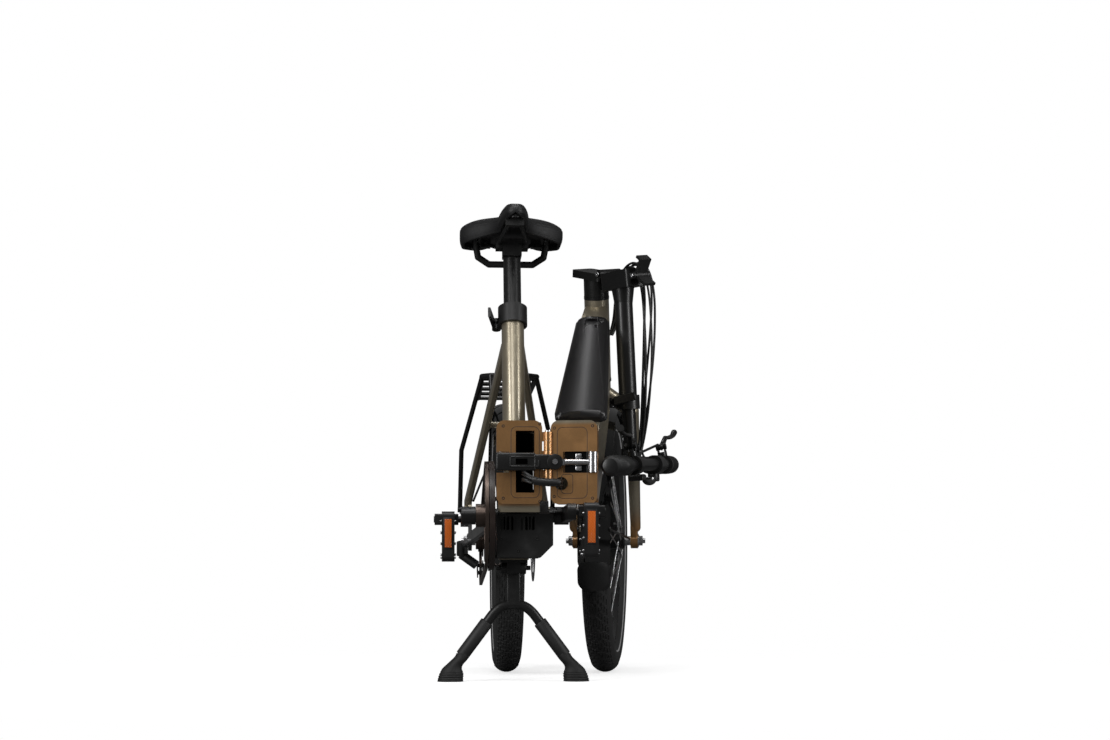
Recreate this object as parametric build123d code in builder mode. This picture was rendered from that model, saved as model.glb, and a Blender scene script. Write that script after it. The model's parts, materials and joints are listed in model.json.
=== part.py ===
"""A folding mid-motor bicycle with 20 inch wheels, folded, standing on its double-leg kickstand.

Every piece is drawn where it sits when the bicycle is ridden: Z up from the ground, -Y forwards,
+X the rider's left, X 0 in the wheels' plane, Y 0 at the bottom bracket. The front half is then
swung about the main hinge and the handlepost about its own hinge, into the folded pose, and the
whole bicycle is moved so that the origin is under the middle of its box. Millimetres.
"""

from build123d import *
from math import acos, atan2, cos, degrees, hypot, pi, radians, sin, tan
import os

os.makedirs("parts", exist_ok=True)

# ---------------------------------------------------------------- driving dimensions

# Wheels: 55-406 tyres on 20 inch rims
TYRE_RADIUS = 258.0
TYRE_WIDTH = 55.0
BEAD_RADIUS = 203.0
RIM_DEPTH = 19.0
RIM_WIDTH = 28.0
RIM_WALL = 1.8
SPOKE_RADIUS = 1.1
REAR_SPOKES = 28
FRONT_SPOKES = 28
DISC_RADIUS = 80.0
DISC_THICKNESS = 2.0
WHEELBASE_REAR = 440.0
WHEELBASE_FRONT = 654.0
REAR_SPACING = 135.0
FRONT_SPACING = 100.0
AXLE_RADIUS = 5.0

# Main frame hinge
PLATE_JOINT_Y = -103.3
PLATE_THICKNESS = 22.0
PLATE_LOW = 304.0
PLATE_HIGH = 443.0
REAR_PLATE_LEFT = 41.0
REAR_PLATE_RIGHT = -35.0
FRONT_PLATE_LEFT = 45.5
FRONT_PLATE_RIGHT = -32.0
PLATE_CORNER = 13.0
PIN_X = 50.4
PIN_RADIUS = 3.5
PIN_CLEARANCE = 0.05
KNUCKLE_RADIUS = 7.0
KNUCKLE_LOW = 346.0
KNUCKLE_HIGH = 424.0
KNUCKLE_GAP = 0.4
FOLD_ANGLE = 170.0

# Frame latch
LATCH_FROM_PIN = 74.5
LATCH_AHEAD = 3.0
LATCH_HEIGHT = 373.5
LATCH_OPEN = 80.0
LATCH_BOLT_RADIUS = 5.0
LATCH_BOLT_LENGTH = 63.0
LATCH_BARREL_RADIUS = 8.0
LATCH_PIN_RADIUS = 2.6
LEVER_HEIGHT = 31.0
LEVER_LENGTH = 98.0
LEVER_THICKNESS = 9.0
LATCH_NOTCH_HEIGHT = 35.0
FRONT_NOTCH_DEPTH = 57.0
REAR_NOTCH_DEPTH = 21.0

# Rear frame
BRACKET_HEIGHT = 289.0
SEAT_ANGLE = 73.0
SEAT_TUBE_RADIUS = 20.0
SEAT_TUBE_TOP = 378.0
POST_RADIUS = 15.8
POST_CLEARANCE = 0.06
BEAM_HALF_WIDTH = 20.0
BEAM_LOW = 312.0
BEAM_HIGH = 437.0
STAY_OUT = 76.0
DROPOUT_THICKNESS = 7.0
RACK_HEIGHT = 560.0
RACK_HALF_WIDTH = 51.0
RACK_TUBE_RADIUS = 5.0

# Motor and cranks
MOTOR_LOW = 216.0
MOTOR_RIGHT = -33.0
MOTOR_LEFT = 62.0
MOTOR_FRONT = -60.0
MOTOR_BACK = 44.0
COVER_WALL = 3.0
COVER_SLANT = 21.0
SPINDLE_RADIUS = 12.0
BEARING_RADIUS = 18.5
BEARING_WIDTH = 7.0
CRANK_LENGTH = 170.0
CRANK_INNER = 78.0
CRANK_THICKNESS = 14.0
CRANK_TIP_RADIUS = 13.5
CHAIN_LINE = 50.0
CHAINRING_TEETH = 44
CHAIN_PITCH = 12.7
GUARD_RADIUS = 93.5
COG_TEETH = 13

# Pedals
PEDAL_AXLE_RADIUS = 6.0
PEDAL_HINGE_OUT = 114.5
PEDAL_THICKNESS = 23.0
PEDAL_ABOVE = 13.0
PEDAL_BELOW = 76.0
PEDAL_HALF_LENGTH = 42.0
PEDAL_BLOCK = 20.0
PEDAL_PIN_RADIUS = 3.0
PEDAL_PIN_REACH = 17.0

# Saddle and seatpost
SADDLE_HEIGHT = 836.0
POST_INSERT = 250.0
POST_HEAD = 498.0

# Kickstand
STAND_PIVOT_Y = 70.0
STAND_PIVOT_HEIGHT = 200.0
STAND_FOOT_OUT = 112.0
STAND_FOOT_WIDTH = 44.0
STAND_FOOT_LENGTH = 40.0
STAND_FOOT_HEIGHT = 16.0

# Front frame, fork and headset
HEAD_ANGLE = 71.0
HEAD_TOP_HEIGHT = 702.0
HEAD_TOP_Y = -453.0
HEAD_LENGTH = 150.0
HEAD_RADIUS = 23.0
STEERER_RADIUS = 14.3
BLADE_OUT = 60.0
BLADE_RADIUS = 13.0
COVER_HALF_WIDTH = 44.0

# Handlepost
HINGE_PLANE_UP = 50.8
HINGE_OFFSET = 40.0
HINGE_YAW = 138.5
HINGE_LEAN = 4.1
POST_FOLD = 167.0
OUTER_POST_RADIUS = 16.5
OUTER_POST_LENGTH = 245.0
INNER_POST_RADIUS = 12.7
BAR_UP = 353.0
BAR_REACH = 45.0
BAR_HALF_LENGTH = 290.0
BAR_RADIUS = 11.1
BAR_SWEEP = 5.0
GRIP_RADIUS = 16.0
GRIP_LENGTH = 128.0

# Worked out from the sizes above
PLATE_MIDDLE = (PLATE_LOW + PLATE_HIGH) / 2
PIN = Vector(PIN_X, PLATE_JOINT_Y, 0)
REAR_AXLE = Vector(0, WHEELBASE_REAR, TYRE_RADIUS)
FRONT_AXLE = Vector(0, -WHEELBASE_FRONT, TYRE_RADIUS)
BRACKET = Vector(0, 0, BRACKET_HEIGHT)
SEAT_AXIS = Vector(0, cos(radians(SEAT_ANGLE)), sin(radians(SEAT_ANGLE)))
STEER_AXIS = Vector(0, cos(radians(HEAD_ANGLE)), sin(radians(HEAD_ANGLE)))
STEER_BACK = Vector(0, STEER_AXIS.Z, -STEER_AXIS.Y)
HEAD_TOP = Vector(0, HEAD_TOP_Y, HEAD_TOP_HEIGHT)
HINGE_PLANE_POINT = HEAD_TOP + STEER_AXIS * HINGE_PLANE_UP
RING_RADIUS = CHAIN_PITCH / 2 / sin(pi / CHAINRING_TEETH)
COG_RADIUS = CHAIN_PITCH / 2 / sin(pi / COG_TEETH)

# The handlepost's hinge: across its axis, away from the steering axis, and the meeting plane's normal
HINGE_AXIS = (
    (Vector(1, 0, 0) * cos(radians(HINGE_YAW)) - STEER_BACK * sin(radians(HINGE_YAW)))
    * cos(radians(HINGE_LEAN))
    - STEER_AXIS * sin(radians(HINGE_LEAN))
).normalized()
HINGE_NORMAL = (STEER_AXIS - HINGE_AXIS * STEER_AXIS.dot(HINGE_AXIS)).normalized()
HINGE_ACROSS = HINGE_NORMAL.cross(HINGE_AXIS).normalized()
HINGE_POINT = HINGE_PLANE_POINT - HINGE_ACROSS * HINGE_OFFSET

FOLD = Location(PIN) * Location((0, 0, 0), (0, 0, 1), FOLD_ANGLE) * Location(-PIN)
POST_FOLDED = (
    FOLD
    * Location(HINGE_POINT)
    * Location((0, 0, 0), tuple(HINGE_AXIS), POST_FOLD)
    * Location(-HINGE_POINT)
)
RIDING = Location()

pieces = {}


def keep(piece, name, place=RIDING):
    """Move a finished piece into the folded pose and keep it under its node's name."""
    pieces[name] = piece.part.moved(place)


def across(centre):
    """The plane through a wheel's axle and its top: x along the axle, y up."""
    return Plane(origin=centre, x_dir=(1, 0, 0), z_dir=(0, -1, 0))


def side(x):
    """The side view at x: its x axis runs rearwards and its y axis up."""
    return Plane(origin=(x, 0, 0), x_dir=(0, 1, 0), z_dir=(1, 0, 0))


def rod(start, end, radius, bore=0.0, mode=Mode.ADD):
    """A round bar from start to end, or a tube where it has a bore."""
    start, end = Vector(start), Vector(end)
    with BuildSketch(Plane(origin=start, z_dir=end - start)) as section:
        Circle(radius)
        if bore:
            Circle(bore, mode=Mode.SUBTRACT)
    extrude(section.sketch, amount=(end - start).length, mode=mode)


def cone(start, end, radius_start, radius_end, mode=Mode.ADD):
    """A round bar that tapers from start to end."""
    start, end = Vector(start), Vector(end)
    ends = []
    for point, radius in ((start, radius_start), (end, radius_end)):
        with BuildSketch(Plane(origin=point, z_dir=end - start)) as section:
            Circle(radius)
        ends.append(section.sketch.faces()[0])
    loft(ends, mode=mode)


def block(corner, opposite, mode=Mode.ADD):
    """A box between two opposite corners."""
    corner, opposite = Vector(corner), Vector(opposite)
    with Locations((corner + opposite) / 2):
        Box(*(abs(far - near) for near, far in zip(corner, opposite)), mode=mode)


def ball(centre, radius):
    """A round joint between two bars."""
    with Locations(centre):
        Sphere(radius)


def mirrored(point, hand):
    """The point on the rider's left when hand is 1, or on the right when it is -1."""
    return Vector(point[0] * hand, point[1], point[2])


# ---------------------------------------------------------------- wheels

SEAT_RADIUS = TYRE_RADIUS - TYRE_WIDTH / 2
TYRE_WALL = 3.5
FLANGE_TOP = BEAD_RADIUS + 6
FIT = 0.3


def tyre(axle):
    """An open carcass, its two beads standing in the rim's channel."""
    with BuildPart() as made:
        with BuildSketch(across(axle)):
            with Locations((0, SEAT_RADIUS)):
                Circle(TYRE_WIDTH / 2)
                Circle(TYRE_WIDTH / 2 - TYRE_WALL, mode=Mode.SUBTRACT)
            with Locations((0, (FLANGE_TOP + FIT) / 2)):
                Rectangle(TYRE_WIDTH, FLANGE_TOP + FIT, mode=Mode.SUBTRACT)
            for hand in (1, -1):
                bead = RIM_WIDTH / 2 - RIM_WALL - FIT
                with BuildLine():
                    Polyline(
                        (hand * (bead - 4), BEAD_RADIUS + FIT),
                        (hand * bead, BEAD_RADIUS + FIT),
                        (hand * bead, FLANGE_TOP + FIT),
                        (hand * (RIM_WIDTH / 2 + 2), FLANGE_TOP + FIT + 2),
                        (hand * (RIM_WIDTH / 2), FLANGE_TOP + FIT + 4),
                        (hand * (bead - 4), FLANGE_TOP + FIT + 1),
                        close=True,
                    )
                make_face()
        revolve(axis=Axis(axle, (1, 0, 0)))
    return made


def rim(axle):
    """A deep rim: bead channel outside, rounded spoke bed inside."""
    half = RIM_WIDTH / 2
    with BuildPart() as made:
        with BuildSketch(across(axle)):
            with BuildLine():
                Polyline(
                    (half, FLANGE_TOP),
                    (half, FLANGE_TOP - 9),
                    (half - 7, FLANGE_TOP - RIM_DEPTH - 4),
                    (7 - half, FLANGE_TOP - RIM_DEPTH - 4),
                    (-half, FLANGE_TOP - 9),
                    (-half, FLANGE_TOP),
                    (RIM_WALL - half, FLANGE_TOP),
                    (RIM_WALL - half, BEAD_RADIUS),
                    (half - RIM_WALL, BEAD_RADIUS),
                    (half - RIM_WALL, FLANGE_TOP),
                    close=True,
                )
            make_face()
        revolve(axis=Axis(axle, (1, 0, 0)))
    return made


SPOKE_BED = FLANGE_TOP - RIM_DEPTH - 4
FLANGE_RADIUS = 28.0
SPOKE_CIRCLE = FLANGE_RADIUS + SPOKE_RADIUS + 0.3
SPOKE_LEAN = 62.0
SPOKE_STEP = 2.4


def spokes(axle, count, left, right):
    """Crossed spokes from both hub flanges to the rim, each with its nipple."""
    per_side = count // 2
    with BuildPart() as made:
        for hand, flange in ((1, left), (-1, right)):
            for number in range(per_side):
                lean = SPOKE_LEAN if number % 2 else -SPOKE_LEAN
                turn = 360 / per_side * number + (0 if hand > 0 else 180 / per_side)
                out = flange + (SPOKE_STEP if number % 2 else -SPOKE_STEP)
                start = Vector(
                    out, SPOKE_CIRCLE * cos(radians(turn + lean)), SPOKE_CIRCLE * sin(radians(turn + lean))
                )
                reach = SPOKE_BED - 0.8
                end = Vector(hand * 3, reach * cos(radians(turn)), reach * sin(radians(turn)))
                rod(axle + start, axle + end, SPOKE_RADIUS)
                inner = end + (start - end).normalized() * 12
                rod(axle + inner, axle + end, SPOKE_RADIUS + 0.9)
    return made


def brake_disc(axle, low):
    """A rotor with six arms and a slotted brake track."""
    with BuildPart() as made:
        with BuildSketch(Plane(origin=axle + Vector(low, 0, 0), x_dir=(0, 1, 0), z_dir=(1, 0, 0))):
            Circle(DISC_RADIUS)
            Circle(DISC_RADIUS - 14, mode=Mode.SUBTRACT)
            with PolarLocations((DISC_RADIUS + 12) / 2, 6):
                Rectangle(DISC_RADIUS - 20, 7)
            Circle(24)
            Circle(AXLE_RADIUS + 9, mode=Mode.SUBTRACT)
            with PolarLocations(DISC_RADIUS - 7, 24):
                SlotOverall(9, 3, mode=Mode.SUBTRACT)
        extrude(amount=DISC_THICKNESS)
    return made


def hub(axle, left_end, right_end, left_flange, right_flange):
    """A hub shell with two spoke flanges, bored to run on its axle."""
    with BuildPart() as made:
        rod(axle + Vector(right_end, 0, 0), axle + Vector(left_end, 0, 0), 15)
        for flange in (left_flange, right_flange):
            rod(axle + Vector(flange - 1.3, 0, 0), axle + Vector(flange + 1.3, 0, 0), FLANGE_RADIUS)
        rod(axle + Vector(left_end - 4, 0, 0), axle + Vector(left_end, 0, 0), 22)
        rod(
            axle + Vector(right_end - 1, 0, 0),
            axle + Vector(left_end + 1, 0, 0),
            AXLE_RADIUS + PIN_CLEARANCE,
            mode=Mode.SUBTRACT,
        )
    return made


def axle_bar(axle, spacing, plate, left_end, right_end):
    """An axle with its inner cones and the nuts that hold it in the dropouts."""
    outer = spacing / 2 + plate
    with BuildPart() as made:
        rod(axle - Vector(outer + 14, 0, 0), axle + Vector(outer + 14, 0, 0), AXLE_RADIUS)
        for hand, inner in ((1, left_end), (-1, right_end)):
            rod(axle + Vector(hand * (abs(inner) + FIT), 0, 0), axle + Vector(hand * spacing / 2, 0, 0), 9)
            with BuildSketch(Plane(origin=axle + Vector(hand * outer, 0, 0), z_dir=(hand, 0, 0))):
                RegularPolygon(9.5, 6)
            extrude(amount=9)
            rod(axle + Vector(hand * outer, 0, 0), axle + Vector(hand * (outer + 1.6), 0, 0), 12.5)
    return made


REAR_HUB_LEFT = 52.0
REAR_HUB_RIGHT = -27.0
REAR_FLANGES = (34.0, -19.0)
FRONT_HUB_END = 38.0
FRONT_FLANGES = (27.0, -30.0)

keep(tyre(REAR_AXLE), "rear_tyre")
keep(rim(REAR_AXLE), "rear_rim")
keep(spokes(REAR_AXLE, REAR_SPOKES, *REAR_FLANGES), "rear_spokes")
keep(hub(REAR_AXLE, REAR_HUB_LEFT, REAR_HUB_RIGHT, *REAR_FLANGES), "rear_hub")
keep(brake_disc(REAR_AXLE, REAR_HUB_LEFT), "rear_brake_disc")
CASSETTE_RIGHT = -60.0
keep(
    axle_bar(
        REAR_AXLE, REAR_SPACING, DROPOUT_THICKNESS, REAR_HUB_LEFT + DISC_THICKNESS, CASSETTE_RIGHT
    ),
    "rear_axle",
)

keep(tyre(FRONT_AXLE), "front_tyre", FOLD)
keep(rim(FRONT_AXLE), "front_rim", FOLD)
keep(spokes(FRONT_AXLE, FRONT_SPOKES, *FRONT_FLANGES), "front_spokes", FOLD)
keep(hub(FRONT_AXLE, FRONT_HUB_END, -FRONT_HUB_END, *FRONT_FLANGES), "front_hub", FOLD)
keep(brake_disc(FRONT_AXLE, FRONT_HUB_END), "front_brake_disc", FOLD)
FORK_END_THICKNESS = 14.0
keep(
    axle_bar(
        FRONT_AXLE, FRONT_SPACING, FORK_END_THICKNESS, FRONT_HUB_END + DISC_THICKNESS, -FRONT_HUB_END
    ),
    "front_axle",
    FOLD,
)

# ---------------------------------------------------------------- main hinge

KNUCKLES = 5
KNUCKLE_LENGTH = (KNUCKLE_HIGH - KNUCKLE_LOW - KNUCKLE_GAP * (KNUCKLES - 1)) / KNUCKLES


def knuckle_span(number):
    """The bottom and the top of one of the hinge's barrels."""
    low = KNUCKLE_LOW + number * (KNUCKLE_LENGTH + KNUCKLE_GAP)
    return low, low + KNUCKLE_LENGTH


def hinge_barrels(numbers, web_from, web_side):
    """Barrels round the hinge pin, each on a web that reaches back to its own plate."""
    for number in numbers:
        low, high = knuckle_span(number)
        rod(PIN + Vector(0, 0, low), PIN + Vector(0, 0, high), KNUCKLE_RADIUS)
        near, far = sorted((PLATE_JOINT_Y + web_side * 0.2, PLATE_JOINT_Y + web_side * KNUCKLE_RADIUS))
        block((web_from - 2, near, low), (PIN_X, far, high))
        rod(
            PIN + Vector(0, 0, low - 1),
            PIN + Vector(0, 0, high + 1),
            PIN_RADIUS + PIN_CLEARANCE,
            mode=Mode.SUBTRACT,
        )


def clear_barrels(numbers):
    """Room round the other plate's barrels."""
    for number in numbers:
        low, high = knuckle_span(number)
        rod(
            PIN + Vector(0, 0, low - KNUCKLE_GAP),
            PIN + Vector(0, 0, high + KNUCKLE_GAP),
            KNUCKLE_RADIUS + KNUCKLE_GAP,
            mode=Mode.SUBTRACT,
        )


def plate(right, left, towards):
    """One of the two meeting plates, with rounded corners, from its face at the joint."""
    with BuildSketch(Plane(origin=(0, PLATE_JOINT_Y, PLATE_MIDDLE), x_dir=(1, 0, 0), z_dir=(0, towards, 0))) as face:
        with Locations(((right + left) / 2, 0)):
            RectangleRounded(left - right, PLATE_HIGH - PLATE_LOW, PLATE_CORNER)
    extrude(face.sketch, amount=PLATE_THICKNESS)


with BuildPart() as hinge_pin:
    rod(PIN + Vector(0, 0, KNUCKLE_LOW - 2), PIN + Vector(0, 0, KNUCKLE_HIGH + 2), PIN_RADIUS)
    rod(PIN + Vector(0, 0, KNUCKLE_HIGH + 0.3), PIN + Vector(0, 0, KNUCKLE_HIGH + 3), KNUCKLE_RADIUS - 2.5)
    rod(PIN + Vector(0, 0, KNUCKLE_LOW - 3), PIN + Vector(0, 0, KNUCKLE_LOW - 0.3), KNUCKLE_RADIUS - 2.5)
keep(hinge_pin, "hinge_pin")

# ---------------------------------------------------------------- rear frame

POCKET = (-3.0, 28.0)
POCKET_LOW = 323.0
POCKET_HIGH = 426.0
SEAT_TOP = BRACKET + SEAT_AXIS * SEAT_TUBE_TOP
STAY_LOW = 330.0
STAND_PLATE_LOW = 214.0
CALIPER_FACE = 60.0
BRIDGE = Vector(0, 258.6, 468.9)
BRIDGE_RADIUS = 6.0
RACK_FOOT = (85.5, 428.0, 318.0)


def flat_bar(start, end, width, depth, mode=Mode.ADD):
    """A flat bar from start to end, width along X and depth across it."""
    start, end = Vector(start), Vector(end)
    with BuildSketch(Plane(origin=start, x_dir=(1, 0, 0), z_dir=end - start)) as section:
        RectangleRounded(width, depth, min(width, depth) * 0.3)
    extrude(section.sketch, amount=(end - start).length, mode=mode)


with BuildPart() as rear_frame:
    plate(REAR_PLATE_RIGHT, REAR_PLATE_LEFT, 1)
    # The casting behind the plate narrows to the beam that carries the seat tube.
    ends = []
    for y, right, left, low, high in (
        (PLATE_JOINT_Y + PLATE_THICKNESS, REAR_PLATE_RIGHT + 15, REAR_PLATE_LEFT - 9, BEAM_LOW, BEAM_HIGH),
        (-45.0, -BEAM_HALF_WIDTH, BEAM_HALF_WIDTH, BEAM_LOW, BEAM_HIGH - 8),
        (22.0, -BEAM_HALF_WIDTH, BEAM_HALF_WIDTH, BEAM_LOW, BEAM_HIGH + 6),
    ):
        with BuildSketch(Plane(origin=(0, y, 0), x_dir=(1, 0, 0), z_dir=(0, -1, 0))) as section:
            with Locations(((right + left) / 2, (low + high) / 2)):
                Rectangle(left - right, high - low)
        ends.append(section.sketch.faces()[0])
    loft(ends, ruled=True)
    # The skirt under the plate, which laps the top of the motor's cover.
    block((REAR_PLATE_RIGHT + 3, -96, PLATE_LOW - 13), (REAR_PLATE_LEFT - 4, -68, PLATE_LOW + 6))
    # Seat tube, open at the top for the seatpost.
    rod(BRACKET + SEAT_AXIS * 32, SEAT_TOP, SEAT_TUBE_RADIUS)
    # The bridge behind the seat tube carries the chain stays and the stand.
    block((-22, 0, BEAM_LOW), (22, STAND_PIVOT_Y + 10, BEAM_LOW + 28))
    block((-26, MOTOR_BACK + 4, STAND_PLATE_LOW), (26, STAND_PIVOT_Y + 10, BEAM_LOW + 4))
    for hand in (1, -1):
        flat_bar(
            mirrored((22, STAND_PIVOT_Y, 292), hand),
            mirrored((REAR_SPACING / 2 + 4, 418, TYRE_RADIUS + 2), hand),
            12,
            24,
        )
        # The dropout, with its slot for the axle, reaches up to the seat stay's foot.
        inner = REAR_SPACING / 2
        low, high = sorted((hand * inner, hand * (inner + DROPOUT_THICKNESS)))
        with BuildSketch(side(low)) as outline:
            with BuildLine():
                Polyline(
                    (405, TYRE_RADIUS - 9),
                    (405, TYRE_RADIUS + 14),
                    (424, STAY_LOW + 14),
                    (446, STAY_LOW + 14),
                    (456, TYRE_RADIUS + 8),
                    (456, TYRE_RADIUS - 16),
                    (430, TYRE_RADIUS - 20),
                    close=True,
                )
            make_face()
            with Locations((WHEELBASE_REAR, TYRE_RADIUS)):
                Circle(AXLE_RADIUS + 0.1, mode=Mode.SUBTRACT)
        extrude(outline.sketch, amount=high - low)
        # Flat seat stay, from beside the seat tube to the dropout.
        flat_bar(mirrored((14, 103, 592), hand), mirrored((STAY_OUT, 434, STAY_LOW), hand), 13, 22)
    # Bosses for the brake's caliper and the rack's feet, and the bridge that the mudguard hangs on.
    block((CALIPER_FACE, 372, 256), (CALIPER_FACE + 8, 396, 320))
    rod(BRIDGE - Vector(43, 0, 0), BRIDGE + Vector(43, 0, 0), BRIDGE_RADIUS)
    for hand in (1, -1):
        rod(mirrored((REAR_SPACING / 2 + 2, *RACK_FOOT[1:]), hand), mirrored(RACK_FOOT, hand), 6)
    rod(
        BRACKET + SEAT_AXIS * (SEAT_TUBE_TOP - POST_INSERT - 55),
        SEAT_TOP + SEAT_AXIS,
        POST_RADIUS + POST_CLEARANCE,
        mode=Mode.SUBTRACT,
    )
    # Cable pocket, latch notch and the barrels of the hinge.
    block((POCKET[0], PLATE_JOINT_Y - 1, POCKET_LOW), (POCKET[1], PLATE_JOINT_Y + 48, POCKET_HIGH), mode=Mode.SUBTRACT)
    block(
        (REAR_PLATE_RIGHT - 1, PLATE_JOINT_Y - 1, LATCH_HEIGHT - LATCH_NOTCH_HEIGHT / 2),
        (
            REAR_PLATE_RIGHT + REAR_NOTCH_DEPTH,
            PLATE_JOINT_Y + PLATE_THICKNESS + 46,
            LATCH_HEIGHT + LATCH_NOTCH_HEIGHT / 2,
        ),
        mode=Mode.SUBTRACT,
    )
    hinge_barrels((0, 2, 4), REAR_PLATE_LEFT, 1)
keep(rear_frame, "rear_frame")

# ---------------------------------------------------------------- motor

MOTOR_TOP = BEAM_LOW
COVER_TOP = 290.0

with BuildPart() as motor_housing:
    with BuildSketch(side(MOTOR_RIGHT + COVER_WALL + 4)):
        with BuildLine():
            Polyline(
                (MOTOR_FRONT + COVER_WALL + 1, MOTOR_LOW + 14),
                (MOTOR_FRONT + COVER_WALL + 1, MOTOR_TOP - 22),
                (MOTOR_FRONT + 16, MOTOR_TOP),
                (MOTOR_BACK + 3, MOTOR_TOP),
                (MOTOR_BACK + 3, MOTOR_LOW + 5),
                (MOTOR_FRONT + 18, MOTOR_LOW + 5),
                close=True,
            )
        make_face()
    extrude(amount=MOTOR_LEFT - MOTOR_RIGHT - 2 * COVER_WALL - 8)
    rod(
        BRACKET + Vector(MOTOR_RIGHT - 1, 0, 0),
        BRACKET + Vector(MOTOR_LEFT + 1, 0, 0),
        SPINDLE_RADIUS + PIN_CLEARANCE,
        mode=Mode.SUBTRACT,
    )
    # The corner under the cover's slant.
    with BuildSketch(Plane(origin=(0, MOTOR_FRONT, 0), x_dir=(1, 0, 0), z_dir=(0, -1, 0))) as wedge:
        with BuildLine():
            Polyline(
                (MOTOR_LEFT - COVER_SLANT - 8, MOTOR_LOW),
                (MOTOR_LEFT, MOTOR_LOW + COVER_SLANT + 8),
                (MOTOR_LEFT, MOTOR_LOW),
                close=True,
            )
        make_face()
    extrude(wedge.sketch, amount=MOTOR_FRONT - MOTOR_BACK - 10, mode=Mode.SUBTRACT)
    # A bearing in a pocket at each side carries the crank spindle.
    for hand, wall in ((1, MOTOR_LEFT - COVER_WALL - 4), (-1, MOTOR_RIGHT + COVER_WALL + 4)):
        pocket = wall - hand * (BEARING_WIDTH + 2)
        rod(
            (pocket, 0, BRACKET_HEIGHT),
            (wall + hand, 0, BRACKET_HEIGHT),
            BEARING_RADIUS + PIN_CLEARANCE,
            mode=Mode.SUBTRACT,
        )
        rod(
            (pocket + hand * 0.2, 0, BRACKET_HEIGHT),
            (pocket + hand * (BEARING_WIDTH + 0.2), 0, BRACKET_HEIGHT),
            BEARING_RADIUS,
            SPINDLE_RADIUS + PIN_CLEARANCE,
        )
keep(motor_housing, "motor_housing")

with BuildPart() as motor_cover:
    # A box open at the top and the back, its lower left corner cut away on a slant.
    for inset, mode in ((0.0, Mode.ADD), (COVER_WALL, Mode.SUBTRACT)):
        front = MOTOR_FRONT + inset
        with BuildSketch(Plane(origin=(0, front, 0), x_dir=(1, 0, 0), z_dir=(0, -1, 0))) as outline:
            with BuildLine():
                Polyline(
                    (MOTOR_RIGHT + inset, COVER_TOP + inset),
                    (MOTOR_RIGHT + inset, MOTOR_LOW + inset),
                    (MOTOR_LEFT - COVER_SLANT - inset * 0.4, MOTOR_LOW + inset),
                    (MOTOR_LEFT - inset, MOTOR_LOW + COVER_SLANT + inset * 0.4),
                    (MOTOR_LEFT - inset, COVER_TOP + inset),
                    close=True,
                )
            make_face()
        extrude(outline.sketch, amount=front - MOTOR_BACK - 3, mode=mode)
    # Cooling slots in the front wall, in two groups of three.
    for centre in (-16, 18):
        for step in (-9, 0, 9):
            block(
                (centre + step - 1.6, MOTOR_FRONT - 1, COVER_TOP - 28),
                (centre + step + 1.6, MOTOR_FRONT + COVER_WALL + 0.5, COVER_TOP - 8),
                mode=Mode.SUBTRACT,
            )
    rod(
        BRACKET + Vector(MOTOR_RIGHT - 1, 0, 0),
        BRACKET + Vector(MOTOR_LEFT + 1, 0, 0),
        BEARING_RADIUS + 2,
        mode=Mode.SUBTRACT,
    )
keep(motor_cover, "motor_cover")


# ---------------------------------------------------------------- cranks and chain

SPINDLE_END = CRANK_INNER + CRANK_THICKNESS
PEDAL_AXLE_OUT = PEDAL_HINGE_OUT + 26
PEDAL_TIPS = {1: -CRANK_LENGTH, -1: CRANK_LENGTH}


def crank_arm(hand):
    """A crank arm: its eye at the spindle, and the pedal's axle screwed into its tip."""
    tip = PEDAL_TIPS[hand]
    eye = (hand * (CRANK_INNER - 10), 0, BRACKET_HEIGHT)
    rod(eye, (hand * SPINDLE_END, 0, BRACKET_HEIGHT), CRANK_TIP_RADIUS + 2)
    rod((hand * CRANK_INNER, tip, BRACKET_HEIGHT), (hand * SPINDLE_END, tip, BRACKET_HEIGHT), CRANK_TIP_RADIUS)
    block(
        (hand * (CRANK_INNER + 1), 0, BRACKET_HEIGHT - CRANK_TIP_RADIUS + 1),
        (hand * (SPINDLE_END - 1), tip, BRACKET_HEIGHT + CRANK_TIP_RADIUS - 1),
    )
    rod((hand * CRANK_INNER, tip, BRACKET_HEIGHT), (hand * PEDAL_AXLE_OUT, tip, BRACKET_HEIGHT), PEDAL_AXLE_RADIUS)


with BuildPart() as left_crank:
    crank_arm(1)
    rod(BRACKET, BRACKET + Vector(SPINDLE_END + 1, 0, 0), SPINDLE_RADIUS, mode=Mode.SUBTRACT)
keep(left_crank, "left_crank_arm")

with BuildPart() as right_crank:
    # The spindle is forged in one piece with the right arm and runs through to the left one.
    crank_arm(-1)
    rod((-SPINDLE_END, 0, BRACKET_HEIGHT), (SPINDLE_END, 0, BRACKET_HEIGHT), SPINDLE_RADIUS)
keep(right_crank, "right_crank_arm")

with BuildPart() as chainring:
    # A spider on the spindle carries the toothed ring; the teeth stop short of the chain.
    with BuildSketch(side(-CHAIN_LINE - 1.5)) as ring:
        with Locations((0, BRACKET_HEIGHT)):
            Circle(RING_RADIUS - 4.5)
            Circle(RING_RADIUS - 20, mode=Mode.SUBTRACT)
            with PolarLocations(RING_RADIUS / 2, 5):
                Rectangle(RING_RADIUS - 22, 14)
            Circle(24)
    extrude(ring.sketch, amount=3)
    rod((-CRANK_INNER + 10.5, 0, BRACKET_HEIGHT), (-CHAIN_LINE + 4, 0, BRACKET_HEIGHT), 20)
    rod(BRACKET - Vector(CRANK_INNER, 0, 0), BRACKET, SPINDLE_RADIUS, mode=Mode.SUBTRACT)
keep(chainring, "chainring")

GUARD_OUTER = -46.0
GUARD_INNER = -36.5

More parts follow.
